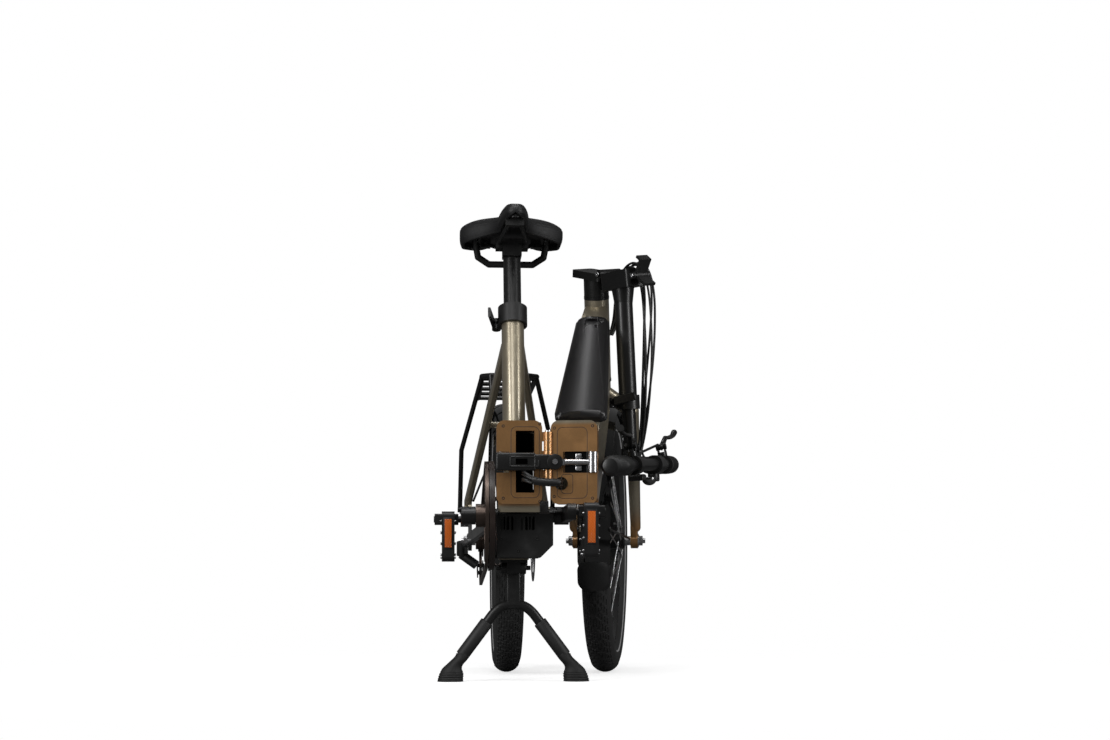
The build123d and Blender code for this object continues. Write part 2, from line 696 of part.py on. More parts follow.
with BuildPart() as chain_guard:
    # A hoop beside the ring, held to the spider by five tabs.
    with BuildSketch(side(GUARD_OUTER)) as hoop:
        with Locations((0, BRACKET_HEIGHT)):
            Circle(GUARD_RADIUS)
            Circle(GUARD_RADIUS - 5, mode=Mode.SUBTRACT)
    extrude(hoop.sketch, amount=GUARD_INNER - GUARD_OUTER)
    with BuildSketch(side(GUARD_OUTER)) as web:
        with Locations((0, BRACKET_HEIGHT)):
            Circle(GUARD_RADIUS - 3)
            Circle(RING_RADIUS - 24, mode=Mode.SUBTRACT)
    extrude(web.sketch, amount=2.5)
    for number in range(5):
        turn = radians(72 * number)
        out = RING_RADIUS - 14
        centre = Vector(0, out * cos(turn), BRACKET_HEIGHT + out * sin(turn))
        rod(centre + Vector(-CHAIN_LINE + 1.5, 0, 0), centre + Vector(GUARD_OUTER + 1, 0, 0), 4)
keep(chain_guard, "chain_guard")

COGS = (30, 26, 21, 16, 13, 11)
COG_STEP = 4.0

with BuildPart() as cassette:
    # Sprockets, the largest beside the spokes, on the freehub body.
    rod(
        REAR_AXLE + Vector(CASSETTE_RIGHT + FIT, 0, 0),
        REAR_AXLE + Vector(REAR_HUB_RIGHT - 0.5, 0, 0),
        17,
        AXLE_RADIUS + PIN_CLEARANCE,
    )
    for number, teeth in enumerate(COGS):
        radius = CHAIN_PITCH / 2 / sin(pi / teeth)
        depth = 5.2 if teeth == COG_TEETH else 1.0
        x = -CHAIN_LINE + 1 + (COGS.index(COG_TEETH) - number) * COG_STEP
        rod(REAR_AXLE + Vector(x - 2, 0, 0), REAR_AXLE + Vector(x, 0, 0), radius - depth, 16)
keep(cassette, "cassette")

GUIDE = Vector(0, 470, 210)
TENSION = Vector(0, 430, 195)
JOCKEY_TEETH = 10
JOCKEY_RADIUS = CHAIN_PITCH / 2 / sin(pi / JOCKEY_TEETH)
CHAIN_HALF_HEIGHT = 4.0
CHAIN_HALF_WIDTH = 2.8
CHAIN_WHEELS = (
    (BRACKET, RING_RADIUS, 1),
    (REAR_AXLE, COG_RADIUS, 1),
    (GUIDE, JOCKEY_RADIUS, -1),
    (TENSION, JOCKEY_RADIUS, 1),
)


def straight_run(leaving, meeting):
    """The chain's straight run between two wheels, in the side view; hand 1 turns clockwise there."""
    (first, first_radius, first_hand), (second, second_radius, second_hand) = leaving, meeting
    run = hypot(second.Y - first.Y, second.Z - first.Z)
    heading = atan2(second.Z - first.Z, second.Y - first.Y)
    angle = heading + acos((first_hand * first_radius - second_hand * second_radius) / run)
    return [
        (wheel.Y + hand * radius * cos(angle), wheel.Z + hand * radius * sin(angle))
        for wheel, radius, hand in (leaving, meeting)
    ]


with BuildPart() as chain:
    with BuildSketch(side(-CHAIN_LINE - CHAIN_HALF_WIDTH)) as loop:
        runs = [straight_run(CHAIN_WHEELS[i - 1], CHAIN_WHEELS[i]) for i in range(len(CHAIN_WHEELS))]
        with BuildLine() as path:
            for number, (wheel, radius, hand) in enumerate(CHAIN_WHEELS):
                meets = runs[number][1]
                leaves = runs[(number + 1) % len(runs)][0]
                start = degrees(atan2(meets[1] - wheel.Z, meets[0] - wheel.Y))
                end = degrees(atan2(leaves[1] - wheel.Z, leaves[0] - wheel.Y))
                turn = (start - end) % 360 if hand > 0 else (end - start) % 360
                CenterArc((wheel.Y, wheel.Z), radius, start, -hand * turn)
            for start, end in runs:
                Line(start, end)
        trace(path.line, 2 * CHAIN_HALF_HEIGHT)
    extrude(amount=2 * CHAIN_HALF_WIDTH)
keep(chain, "chain")

DERAILLEUR_OUT = -CHAIN_LINE - CHAIN_HALF_WIDTH - 2.5

with BuildPart() as derailleur:
    # Cage plates either side of the two jockey wheels, and the body that hangs them from the dropout.
    for wheel in (GUIDE, TENSION):
        with BuildSketch(side(-CHAIN_LINE - 1.2)) as jockey:
            with Locations((wheel.Y, wheel.Z)):
                Circle(JOCKEY_RADIUS - CHAIN_HALF_HEIGHT - 0.5)
        extrude(jockey.sketch, amount=2.4)
        rod(wheel + Vector(DERAILLEUR_OUT - 2, 0, 0), wheel + Vector(-CHAIN_LINE + 8, 0, 0), 4)
    for low in (DERAILLEUR_OUT - 2, -CHAIN_LINE + CHAIN_HALF_WIDTH + 1):
        with BuildSketch(side(low)) as cage:
            middle = (GUIDE + TENSION) / 2
            span = hypot(GUIDE.Y - TENSION.Y, GUIDE.Z - TENSION.Z)
            lean = degrees(atan2(GUIDE.Z - TENSION.Z, GUIDE.Y - TENSION.Y))
            with Locations(Location((middle.Y, middle.Z), lean)):
                SlotCenterToCenter(span, 20)
        extrude(cage.sketch, amount=2)
    rod(GUIDE + Vector(-88, 4, 22), GUIDE + Vector(DERAILLEUR_OUT - 2, 0, 0), 9)
    rod(GUIDE + Vector(-86, -4, 46), GUIDE + Vector(-86, 4, 20), 11)
    block((-REAR_SPACING / 2 - 14, 444, 232), (-REAR_SPACING / 2 - DROPOUT_THICKNESS - 0.2, 462, 258 - 13))
    rod(GUIDE + Vector(-86, -12, 38), GUIDE + Vector(-REAR_SPACING / 2 - DROPOUT_THICKNESS - FIT, -12, 38), 8)
keep(derailleur, "rear_derailleur")

# ---------------------------------------------------------------- pedals

def pedal_block(hand):
    """The block that turns on the pedal's axle, with a stub pin each side for the platform."""
    tip = PEDAL_TIPS[hand]
    with BuildPart() as made:
        block(
            (hand * (SPINDLE_END + 4), tip - PEDAL_BLOCK / 2, BRACKET_HEIGHT - PEDAL_BLOCK / 2),
            (hand * (PEDAL_AXLE_OUT - 1.5), tip + PEDAL_BLOCK / 2, BRACKET_HEIGHT + PEDAL_BLOCK / 2),
        )
        fillet(made.edges().filter_by(Axis.X), 3)
        rod(
            (hand * PEDAL_HINGE_OUT, tip - PEDAL_PIN_REACH, BRACKET_HEIGHT),
            (hand * PEDAL_HINGE_OUT, tip + PEDAL_PIN_REACH, BRACKET_HEIGHT),
            PEDAL_PIN_RADIUS,
        )
        rod(
            (hand * CRANK_INNER, tip, BRACKET_HEIGHT),
            (hand * (PEDAL_AXLE_OUT + 1), tip, BRACKET_HEIGHT),
            PEDAL_AXLE_RADIUS + PIN_CLEARANCE,
            mode=Mode.SUBTRACT,
        )
    return made


def pedal_platform(hand):
    """The platform, folded down beside the crank, open round the block."""
    tip = PEDAL_TIPS[hand]
    inner = hand * PEDAL_HINGE_OUT - PEDAL_THICKNESS / 2
    outer = inner + PEDAL_THICKNESS
    with BuildPart() as made:
        block(
            (inner, tip - PEDAL_HALF_LENGTH, BRACKET_HEIGHT - PEDAL_BELOW),
            (outer, tip + PEDAL_HALF_LENGTH, BRACKET_HEIGHT + PEDAL_ABOVE),
        )
        fillet(made.edges().filter_by(Axis.X), 8)
        gap = PEDAL_BLOCK / 2 + 2
        block(
            (inner - 1, tip - gap, BRACKET_HEIGHT - PEDAL_AXLE_OUT + PEDAL_HINGE_OUT - 3),
            (outer + 1, tip + gap, BRACKET_HEIGHT + PEDAL_ABOVE + 1),
            mode=Mode.SUBTRACT,
        )
        for along in (1, -1):
            middle = tip + along * (gap + PEDAL_HALF_LENGTH) / 2
            block(
                (inner - 1, middle - 9, BRACKET_HEIGHT - 64),
                (outer + 1, middle + 9, BRACKET_HEIGHT - 14),
                mode=Mode.SUBTRACT,
            )
        rod(
            (hand * PEDAL_HINGE_OUT, tip - PEDAL_PIN_REACH - 0.5, BRACKET_HEIGHT),
            (hand * PEDAL_HINGE_OUT, tip + PEDAL_PIN_REACH + 0.5, BRACKET_HEIGHT),
            PEDAL_PIN_RADIUS + PIN_CLEARANCE,
            mode=Mode.SUBTRACT,
        )
    return made


for hand, name in ((1, "left"), (-1, "right")):
    keep(pedal_block(hand), name + "_pedal_block")
    keep(pedal_platform(hand), name + "_pedal_platform")

# ---------------------------------------------------------------- seatpost and saddle

POST_TOP = BRACKET + SEAT_AXIS * POST_HEAD
RAIL_HEIGHT = POST_TOP.Z + 18
RAIL_OUT = 22.0
RAIL_RADIUS = 3.5
SHELL_LOW = RAIL_HEIGHT + 17
SHELL_THICKNESS = 7.0
SADDLE_LENGTH = 268.0
SADDLE_HALF_WIDTH = 94.0
SADDLE_FRONT = POST_TOP.Y - 165
SADDLE_BACK = SADDLE_FRONT + SADDLE_LENGTH
HANDLE_OUT = 66.0
HANDLE_LOW = RAIL_HEIGHT - 25
HANDLE_RADIUS = 6.0

with BuildPart() as seatpost:
    rod(BRACKET + SEAT_AXIS * (SEAT_TUBE_TOP - POST_INSERT), POST_TOP, POST_RADIUS, POST_RADIUS - 2.6)
    rod(POST_TOP - SEAT_AXIS * 6, POST_TOP, POST_RADIUS)
    # The head holds both rails under one clamp.
    block((-17, POST_TOP.Y - 22, POST_TOP.Z - 5), (17, POST_TOP.Y + 22, RAIL_HEIGHT - 4))
    block((-RAIL_OUT - 7, POST_TOP.Y - 18, RAIL_HEIGHT - 9), (RAIL_OUT + 7, POST_TOP.Y + 18, RAIL_HEIGHT + 8))
    for hand in (1, -1):
        rod(
            (hand * RAIL_OUT, POST_TOP.Y - 20, RAIL_HEIGHT),
            (hand * RAIL_OUT, POST_TOP.Y + 20, RAIL_HEIGHT),
            RAIL_RADIUS + PIN_CLEARANCE,
            mode=Mode.SUBTRACT,
        )
keep(seatpost, "seatpost")


def rail_points(hand):
    """One rail's corners, from the saddle's nose, along under the clamp, to the wing."""
    return (
        mirrored((9, SADDLE_FRONT + 30, RAIL_HEIGHT + 13), hand),
        mirrored((RAIL_OUT, POST_TOP.Y - 50, RAIL_HEIGHT), hand),
        mirrored((RAIL_OUT, POST_TOP.Y + 34, RAIL_HEIGHT), hand),
        mirrored((46, SADDLE_BACK - 42, RAIL_HEIGHT + 13), hand),
    )


with BuildPart() as rails:
    for hand in (1, -1):
        corners = rail_points(hand)
        for start, end in zip(corners, corners[1:]):
            rod(start, end, RAIL_RADIUS)
        for corner in corners[1:-1]:
            ball(corner, RAIL_RADIUS)
keep(rails, "saddle_rails")


def saddle_outline(height, shrink):
    """The saddle from above: narrow nose forwards, wide wings behind."""
    half = (
        (14, SADDLE_FRONT),
        (26, SADDLE_FRONT + 128),
        (SADDLE_HALF_WIDTH, SADDLE_BACK - 82),
        (SADDLE_HALF_WIDTH, SADDLE_BACK - 24),
        (58, SADDLE_BACK),
    )
    with BuildSketch(Plane.XY.offset(height)) as outline:
        with BuildLine():
            Polyline(*half, *((-x, y) for x, y in reversed(half)), close=True)
        make_face()
        offset(amount=-shrink)
        fillet(outline.vertices(), 13 - shrink)
    return outline.sketch.faces()[0]


with BuildPart() as saddle_base:
    extrude(saddle_outline(SHELL_LOW, 8), amount=SHELL_THICKNESS)
    # Bosses take the rails' ends at the nose and under the wings.
    nose = rail_points(1)[0]
    block((-16, nose.Y - 8, RAIL_HEIGHT + 6), (16, nose.Y + 10, SHELL_LOW + 1))
    for hand in (1, -1):
        tail = rail_points(hand)[-1]
        block(tail + Vector(-9, -8, -7), (tail.X + 9, tail.Y + 10, SHELL_LOW + 1))
    # A round loop under the back of the saddle, to lift the bicycle by.
    corners = [
        mirrored((out, SADDLE_BACK - up, low), hand)
        for hand, stops in (
            (-1, ((0, 62, SHELL_LOW + 1), (6, 50, HANDLE_LOW + 12), (26, 44, HANDLE_LOW))),
            (1, ((26, 44, HANDLE_LOW), (6, 50, HANDLE_LOW + 12), (0, 62, SHELL_LOW + 1))),
        )
        for out, up, low in [(HANDLE_OUT - inside, up, low) for inside, up, low in stops]
    ]
    for start, end in zip(corners, corners[1:]):
        rod(start, end, HANDLE_RADIUS)
    for corner in corners[1:-1]:
        ball(corner, HANDLE_RADIUS)
    for hand in (1, -1):
        nose, front, back, tail = rail_points(hand)
        rod(front, nose + (nose - front).normalized() * 2, RAIL_RADIUS + PIN_CLEARANCE, mode=Mode.SUBTRACT)
        rod(back, tail + (tail - back).normalized() * 2, RAIL_RADIUS + PIN_CLEARANCE, mode=Mode.SUBTRACT)
keep(saddle_base, "saddle_base")

with BuildPart() as cushion:
    low = SHELL_LOW + SHELL_THICKNESS + FIT
    extrude(saddle_outline(low, 1), amount=SADDLE_HEIGHT - low)
    chamfer(cushion.faces().sort_by(Axis.Z)[-1].edges(), 8)
keep(cushion, "saddle_cushion")

CLAMP_LOW = BRACKET + SEAT_AXIS * (SEAT_TUBE_TOP - 20)
CLAMP_HIGH = BRACKET + SEAT_AXIS * (SEAT_TUBE_TOP + 14)
CLAMP_MIDDLE = (CLAMP_LOW + CLAMP_HIGH) / 2
CLAMP_BACK = Vector(0, SEAT_AXIS.Z, -SEAT_AXIS.Y)
CLAMP_BOLT = CLAMP_MIDDLE + CLAMP_BACK * (SEAT_TUBE_RADIUS + 13)
LEVER_BARREL = CLAMP_BOLT - Vector(28, 0, 0)

with BuildPart() as seat_clamp:
    # A split collar, its two lugs behind the tube, drawn together by a bolt.
    rod(CLAMP_LOW, CLAMP_HIGH, SEAT_TUBE_RADIUS + 6)
    for hand in (1, -1):
        rod(CLAMP_BOLT + Vector(hand * 1.5, 0, 0), CLAMP_BOLT + Vector(hand * 16, 0, 0), 11)
    rod(
        CLAMP_LOW - SEAT_AXIS,
        BRACKET + SEAT_AXIS * (SEAT_TUBE_TOP + 0.2),
        SEAT_TUBE_RADIUS + PIN_CLEARANCE,
        mode=Mode.SUBTRACT,
    )
    rod(CLAMP_LOW - SEAT_AXIS, CLAMP_HIGH + SEAT_AXIS, POST_RADIUS + POST_CLEARANCE, mode=Mode.SUBTRACT)
    rod(CLAMP_BOLT - Vector(20, 0, 0), CLAMP_BOLT + Vector(20, 0, 0), 3.1, mode=Mode.SUBTRACT)
    rod(CLAMP_BOLT - Vector(32, 0, 0), CLAMP_BOLT + Vector(24, 0, 0), 3)
    rod(CLAMP_BOLT + Vector(16.2, 0, 0), CLAMP_BOLT + Vector(24, 0, 0), 7)
    rod(LEVER_BARREL - SEAT_AXIS * 11, LEVER_BARREL + SEAT_AXIS * 11, 3)
keep(seat_clamp, "seat_clamp")

with BuildPart() as seat_lever:
    # The cam turns on a cross pin through the bolt's end; the handle wraps forwards beside the collar.
    rod(LEVER_BARREL - SEAT_AXIS * 10, LEVER_BARREL + SEAT_AXIS * 10, 8)
    flat_bar(LEVER_BARREL + Vector(-5, -4, 1), LEVER_BARREL + Vector(-14, -52, 15), 5, 18)
    with Locations(Location(Plane(LEVER_BARREL, x_dir=(1, 0, 0), z_dir=SEAT_AXIS))):
        Box(40, 24, 6.6, mode=Mode.SUBTRACT)
    rod(LEVER_BARREL - SEAT_AXIS * 12, LEVER_BARREL + SEAT_AXIS * 12, 3 + PIN_CLEARANCE, mode=Mode.SUBTRACT)
keep(seat_lever, "seat_clamp_lever")

# ---------------------------------------------------------------- kickstand

STAND_PIVOT = Vector(0, STAND_PIVOT_Y, STAND_PIVOT_HEIGHT)

with BuildPart() as stand_bracket:
    block((-24, STAND_PIVOT_Y - 20, STAND_PLATE_LOW - 5), (24, STAND_PIVOT_Y + 16, STAND_PLATE_LOW))
    block((-12, STAND_PIVOT_Y - 12, STAND_PIVOT_HEIGHT - 10), (12, STAND_PIVOT_Y + 12, STAND_PLATE_LOW - 4))
    rod(STAND_PIVOT - Vector(30, 0, 0), STAND_PIVOT + Vector(30, 0, 0), 4)
keep(stand_bracket, "kickstand_bracket")

with BuildPart() as stand_legs:
    for hand in (1, -1):
        block((hand * 12.4, STAND_PIVOT_Y - 9, 160), (hand * 25, STAND_PIVOT_Y + 9, STAND_PIVOT_HEIGHT))
        rod(
            mirrored((12.4, STAND_PIVOT_Y, STAND_PIVOT_HEIGHT), hand),
            mirrored((25, STAND_PIVOT_Y, STAND_PIVOT_HEIGHT), hand),
            9,
        )
        hip = mirrored((19, STAND_PIVOT_Y, 164), hand)
        ankle = mirrored((STAND_FOOT_OUT, STAND_PIVOT_Y + 4, 6), hand)
        rod(hip, ankle, 8)
        rod(hip + (ankle - hip) * 0.3, hip + (ankle - hip) * 0.62, 10)
        ball(hip, 9)
    block((-25, STAND_PIVOT_Y - 9, 148), (25, STAND_PIVOT_Y + 9, 176))
    rod(STAND_PIVOT - Vector(40, 0, 0), STAND_PIVOT + Vector(40, 0, 0), 4 + PIN_CLEARANCE, mode=Mode.SUBTRACT)
    block((-200, 0, -5), (200, 140, STAND_FOOT_HEIGHT), mode=Mode.SUBTRACT)
keep(stand_legs, "kickstand_legs")

with BuildPart() as feet:
    for hand in (1, -1):
        with BuildSketch(Plane.XY) as sole:
            with Locations((hand * STAND_FOOT_OUT, STAND_PIVOT_Y + 4)):
                RectangleRounded(STAND_FOOT_WIDTH, STAND_FOOT_LENGTH, 9)
        extrude(sole.sketch, amount=STAND_FOOT_HEIGHT)
keep(feet, "kickstand_feet")

# ---------------------------------------------------------------- rear brake, mudguard and rack


def arc_band(axle, inner, outer, start, end, half_width):
    """A curved band round a wheel, from one angle to another in the side view."""
    with BuildSketch(side(-half_width)) as band:
        with BuildLine():
            arcs = [CenterArc((axle.Y, axle.Z), radius, start, end - start) for radius in (inner, outer)]
            Line(arcs[0] @ 0, arcs[1] @ 0)
            Line(arcs[0] @ 1, arcs[1] @ 1)
        make_face()
    extrude(band.sketch, amount=2 * half_width)


def around(axle, radius, angle, out=0.0):
    """A point at an angle round a wheel, in the side view."""
    return axle + Vector(out, radius * cos(radians(angle)), radius * sin(radians(angle)))


GUARD_HALF_WIDTH = 30.0
GUARD_WALL = 2.5
REAR_GUARD_RADIUS = TYRE_RADIUS + 8
FRONT_GUARD_RADIUS = TYRE_RADIUS + 7

with BuildPart() as rear_caliper:
    block((44, 366, 284), (CALIPER_FACE, 400, 338))
    fillet(rear_caliper.edges().filter_by(Axis.X), 6)
    block((REAR_HUB_LEFT - FIT, 360, 280), (REAR_HUB_LEFT + DISC_THICKNESS + FIT, 410, 331), mode=Mode.SUBTRACT)
    rod((40, 383, 304), (44.5, 383, 304), 11)
keep(rear_caliper, "rear_brake_caliper")

with BuildPart() as rear_guard:
    arc_band(REAR_AXLE, REAR_GUARD_RADIUS, REAR_GUARD_RADIUS + GUARD_WALL, 10, 195, GUARD_HALF_WIDTH)
    towards = (BRIDGE - REAR_AXLE).normalized()
    rod(REAR_AXLE + towards * (REAR_GUARD_RADIUS + 1), BRIDGE - towards * (BRIDGE_RADIUS + FIT), 7)
    for hand in (1, -1):
        foot = mirrored((REAR_SPACING / 2 - 2.5 - FIT, 436, 336), hand)
        edge = around(REAR_AXLE, REAR_GUARD_RADIUS + 1, 40, hand * (GUARD_HALF_WIDTH + 0.5))
        rod(edge, foot, 2.5)
        ball(foot, 2.5)
keep(rear_guard, "rear_mudguard")

RACK_FRONT = 250.0
RACK_BACK = 640.0

with BuildPart() as rack:
    # Two rails joined by a bent front and five bars, on a leg each side.
    for hand in (1, -1):
        rail_front = mirrored((RACK_HALF_WIDTH, RACK_FRONT + 14, RACK_HEIGHT), hand)
        rail_back = mirrored((RACK_HALF_WIDTH, RACK_BACK, RACK_HEIGHT), hand)
        nose = mirrored((RACK_HALF_WIDTH - 16, RACK_FRONT, RACK_HEIGHT), hand)
        rod(rail_front, rail_back, RACK_TUBE_RADIUS)
        rod(rail_front, nose, RACK_TUBE_RADIUS)
        ball(rail_front, RACK_TUBE_RADIUS)
        ball(nose, RACK_TUBE_RADIUS)
        ball(rail_back, RACK_TUBE_RADIUS)
        knee = mirrored((RACK_FOOT[0] + 3, 372, 430), hand)
        foot = mirrored((RACK_FOOT[0] + 5.2, RACK_FOOT[1], RACK_FOOT[2] + 6), hand)
        hip = rail_front + Vector(0, 12, 0)
        rod(hip, knee, RACK_TUBE_RADIUS - 0.5)
        ball(knee, RACK_TUBE_RADIUS - 0.5)
        rod(knee, foot, RACK_TUBE_RADIUS - 0.5)
        rod(mirrored(RACK_FOOT, hand), mirrored((RACK_FOOT[0] + 6, *RACK_FOOT[1:]), hand), 8)
        rod(mirrored((RACK_FOOT[0] + 6, *RACK_FOOT[1:]), hand), mirrored((RACK_FOOT[0] + 10, *RACK_FOOT[1:]), hand), 5)
        # The hoop that drops in front of the deck to the seat stays' bridge.
        drop = mirrored((RACK_HALF_WIDTH - 18, RACK_FRONT - 4, RACK_HEIGHT - 34), hand)
        rod(nose, drop, RACK_TUBE_RADIUS)
        ball(drop, RACK_TUBE_RADIUS)
    rod((-RACK_HALF_WIDTH + 18, RACK_FRONT - 4, RACK_HEIGHT - 34), (RACK_HALF_WIDTH - 18, RACK_FRONT - 4, RACK_HEIGHT - 34), 5)
    rod((-RACK_HALF_WIDTH + 16, RACK_FRONT, RACK_HEIGHT), (RACK_HALF_WIDTH - 16, RACK_FRONT, RACK_HEIGHT), 5)
    for number in range(5):
        y = RACK_FRONT + 50 + number * (RACK_BACK - RACK_FRONT - 50) / 4
        rod((-RACK_HALF_WIDTH, y, RACK_HEIGHT), (RACK_HALF_WIDTH, y, RACK_HEIGHT), RACK_TUBE_RADIUS - 1)
keep(rack, "rear_rack")

# ---------------------------------------------------------------- front frame

COVER_FRONT = Vector(0, -388, 644)
COVER_BACK = Vector(0, -148, 444)
COVER_LENGTH = (COVER_FRONT - COVER_BACK).length
COVER_ALONG = (COVER_FRONT - COVER_BACK).normalized()
COVER_NORMAL = Vector(0, -COVER_ALONG.Z, COVER_ALONG.Y) * -1
COVER_PLANE = Plane(origin=COVER_BACK, x_dir=(-1, 0, 0), z_dir=COVER_NORMAL)
COVER_THICKNESS = 14.0
RECESS = (280.0, 302.0)
RECESS_HALF = 13.0
CABLE_HOLE = Vector(28, PLATE_JOINT_Y, 338)
CABLE_HOLE_RADIUS = 11.0
HEAD_BOTTOM = HEAD_TOP - STEER_AXIS * HEAD_LENGTH
HEAD_BORE = 19.0
LATCH_PIVOT = PIN + Vector(-LATCH_FROM_PIN, -LATCH_AHEAD, LATCH_HEIGHT)
NOTCH_BACK = PLATE_JOINT_Y - 15.0
PLATE_BACK = PLATE_JOINT_Y - PLATE_THICKNESS


def beam_top(y):
    """The height of the beam's sloping upper face."""
    return COVER_BACK.Z + (COVER_BACK.Y - y) * (COVER_FRONT.Z - COVER_BACK.Z) / (COVER_BACK.Y - COVER_FRONT.Y)


with BuildPart() as front_frame:
    plate(FRONT_PLATE_RIGHT, FRONT_PLATE_LEFT, -1)
    # The hollow beam rises from the plate to the head tube.
    ends = []
    for y, right, left, high, depth in (
        (PLATE_BACK, FRONT_PLATE_RIGHT, FRONT_PLATE_LEFT, beam_top(PLATE_BACK), beam_top(PLATE_BACK) - PLATE_LOW - 2),
        (-190.0, -33.0, 33.0, beam_top(-190), 122.0),
        (-330.0, -34.0, 34.0, beam_top(-330), 118.0),
        (HEAD_TOP_Y + 16, -20.0, 20.0, beam_top(HEAD_TOP_Y + 16), 112.0),
    ):
        with BuildSketch(Plane(origin=(0, y, 0), x_dir=(1, 0, 0), z_dir=(0, -1, 0))) as section:
            with Locations(((right + left) / 2, high - depth / 2)):
                Rectangle(left - right, depth)
        ends.append(section.sketch.faces()[0])
    loft(ends, ruled=True)
    rod(HEAD_BOTTOM, HEAD_TOP, HEAD_RADIUS)
    rod(HEAD_BOTTOM - STEER_AXIS, HEAD_TOP + STEER_AXIS, HEAD_BORE, mode=Mode.SUBTRACT)
    rod(CABLE_HOLE + Vector(0, 1, 0), CABLE_HOLE - Vector(0, 40, 0), CABLE_HOLE_RADIUS, mode=Mode.SUBTRACT)
    # The latch's notch, open at the plate's outer edge, with the pin its bolt swings on.
    block(
        (FRONT_PLATE_RIGHT - 6, NOTCH_BACK, LATCH_HEIGHT - LATCH_NOTCH_HEIGHT / 2),
        (FRONT_PLATE_RIGHT + FRONT_NOTCH_DEPTH, PLATE_JOINT_Y + 1, LATCH_HEIGHT + LATCH_NOTCH_HEIGHT / 2),
        mode=Mode.SUBTRACT,
    )
    rod(
        LATCH_PIVOT - Vector(0, 0, LATCH_NOTCH_HEIGHT / 2 + 4),
        LATCH_PIVOT + Vector(0, 0, LATCH_NOTCH_HEIGHT / 2 + 4),
        LATCH_PIN_RADIUS,
    )
    clear_barrels((0, 2, 4))
    hinge_barrels((1, 3), FRONT_PLATE_LEFT, -1)
keep(front_frame, "front_frame", FOLD)


def cover_outline(shrink):
    """The battery cover from above its slope: wide at the hinge, narrow at the head tube."""
    with BuildSketch(COVER_PLANE) as outline:
        with BuildLine():
            Polyline(
                (-45 + shrink, shrink),
                (-30 + shrink, COVER_LENGTH - shrink),
                (30 - shrink, COVER_LENGTH - shrink),
                (45 - shrink, shrink),
                close=True,
            )
        make_face()
        fillet(outline.vertices(), 12)
    return outline.sketch


with BuildPart() as battery_cover:
    extrude(cover_outline(0), amount=COVER_THICKNESS)
    chamfer(battery_cover.faces().sort_by(Axis((0, 0, 0), COVER_NORMAL))[-1].edges(), 4)
    with BuildSketch(COVER_PLANE.offset(COVER_THICKNESS - 8)) as recess:
        with Locations((0, sum(RECESS) / 2)):
            RectangleRounded(2 * RECESS_HALF, RECESS[1] - RECESS[0], 4)
    extrude(recess.sketch, amount=9, mode=Mode.SUBTRACT)
keep(battery_cover, "battery_cover", FOLD)

with BuildPart() as battery_latch:
    with BuildSketch(COVER_PLANE.offset(COVER_THICKNESS - 4.5)) as button:
        with Locations((0, sum(RECESS) / 2)):
            RectangleRounded(2 * RECESS_HALF - 0.8, RECESS[1] - RECESS[0] - 0.8, 3.6)
    extrude(button.sketch, amount=5)
keep(battery_latch, "battery_latch", FOLD)

with BuildPart() as headset:
    for end, out in ((HEAD_TOP, 1), (HEAD_BOTTOM, -1)):
        rod(end, end + STEER_AXIS * (out * 5), HEAD_RADIUS + 0.5, STEERER_RADIUS + 0.06)
        rod(end - STEER_AXIS * (out * 12), end + STEER_AXIS * out, HEAD_BORE - PIN_CLEARANCE, STEERER_RADIUS + 0.06)
keep(headset, "headset", FOLD)

# ---------------------------------------------------------------- frame latch

LATCH_PLACE = FOLD * Location(LATCH_PIVOT) * Location((0, 0, 0), (0, 0, 1), 90 - LATCH_OPEN)
LEVER_LOW = -2.1
LEVER_PIN_RADIUS = 2.5
BOLT_ROUND = LATCH_BOLT_LENGTH - 17.0

with BuildPart() as latch_bolt:
    # An eye on the frame's pin, a round bolt, and a flat tongue with the lever's pin.
    rod((0, 0, 0.4 - LATCH_NOTCH_HEIGHT / 2), (0, 0, LATCH_NOTCH_HEIGHT / 2 - 0.4), LATCH_BARREL_RADIUS)
    rod((2, 0, 0), (BOLT_ROUND, 0, 0), LATCH_BOLT_RADIUS)
    block((BOLT_ROUND - 6, -LATCH_BOLT_RADIUS, -5), (LATCH_BOLT_LENGTH + 5, LEVER_LOW - 0.2, 5))
    rod((LATCH_BOLT_LENGTH, -LATCH_BOLT_RADIUS, 0), (LATCH_BOLT_LENGTH, 8.6, 0), LEVER_PIN_RADIUS)
    rod((LATCH_BOLT_LENGTH, LEVER_LOW + LEVER_THICKNESS + 0.3, 0), (LATCH_BOLT_LENGTH, 8.8, 0), 4.5)
    rod((0, 0, -20), (0, 0, 20), LATCH_PIN_RADIUS + PIN_CLEARANCE, mode=Mode.SUBTRACT)
keep(latch_bolt, "latch_bolt", LATCH_PLACE)

with BuildPart() as latch_lever:
    with BuildSketch(Plane(origin=(0, LEVER_LOW, 0), x_dir=(1, 0, 0), z_dir=(0, -1, 0))) as outline:
        with Locations((LATCH_BOLT_LENGTH, 0)):
            Circle(LEVER_HEIGHT / 2)
        with Locations((LATCH_BOLT_LENGTH + LEVER_LENGTH / 2, 0)):
            Rectangle(LEVER_LENGTH, LEVER_HEIGHT)
        fillet(outline.vertices().group_by(Axis.X)[-1], 11)
        with Locations((LATCH_BOLT_LENGTH, 0)):
            Circle(LEVER_PIN_RADIUS + PIN_CLEARANCE, mode=Mode.SUBTRACT)
        with Locations((LATCH_BOLT_LENGTH + 54, 0)):
            SlotOverall(52, 12, mode=Mode.SUBTRACT)
    extrude(outline.sketch, amount=-LEVER_THICKNESS)
keep(latch_lever, "latch_lever", LATCH_PLACE)

# ---------------------------------------------------------------- fork and front mudguard

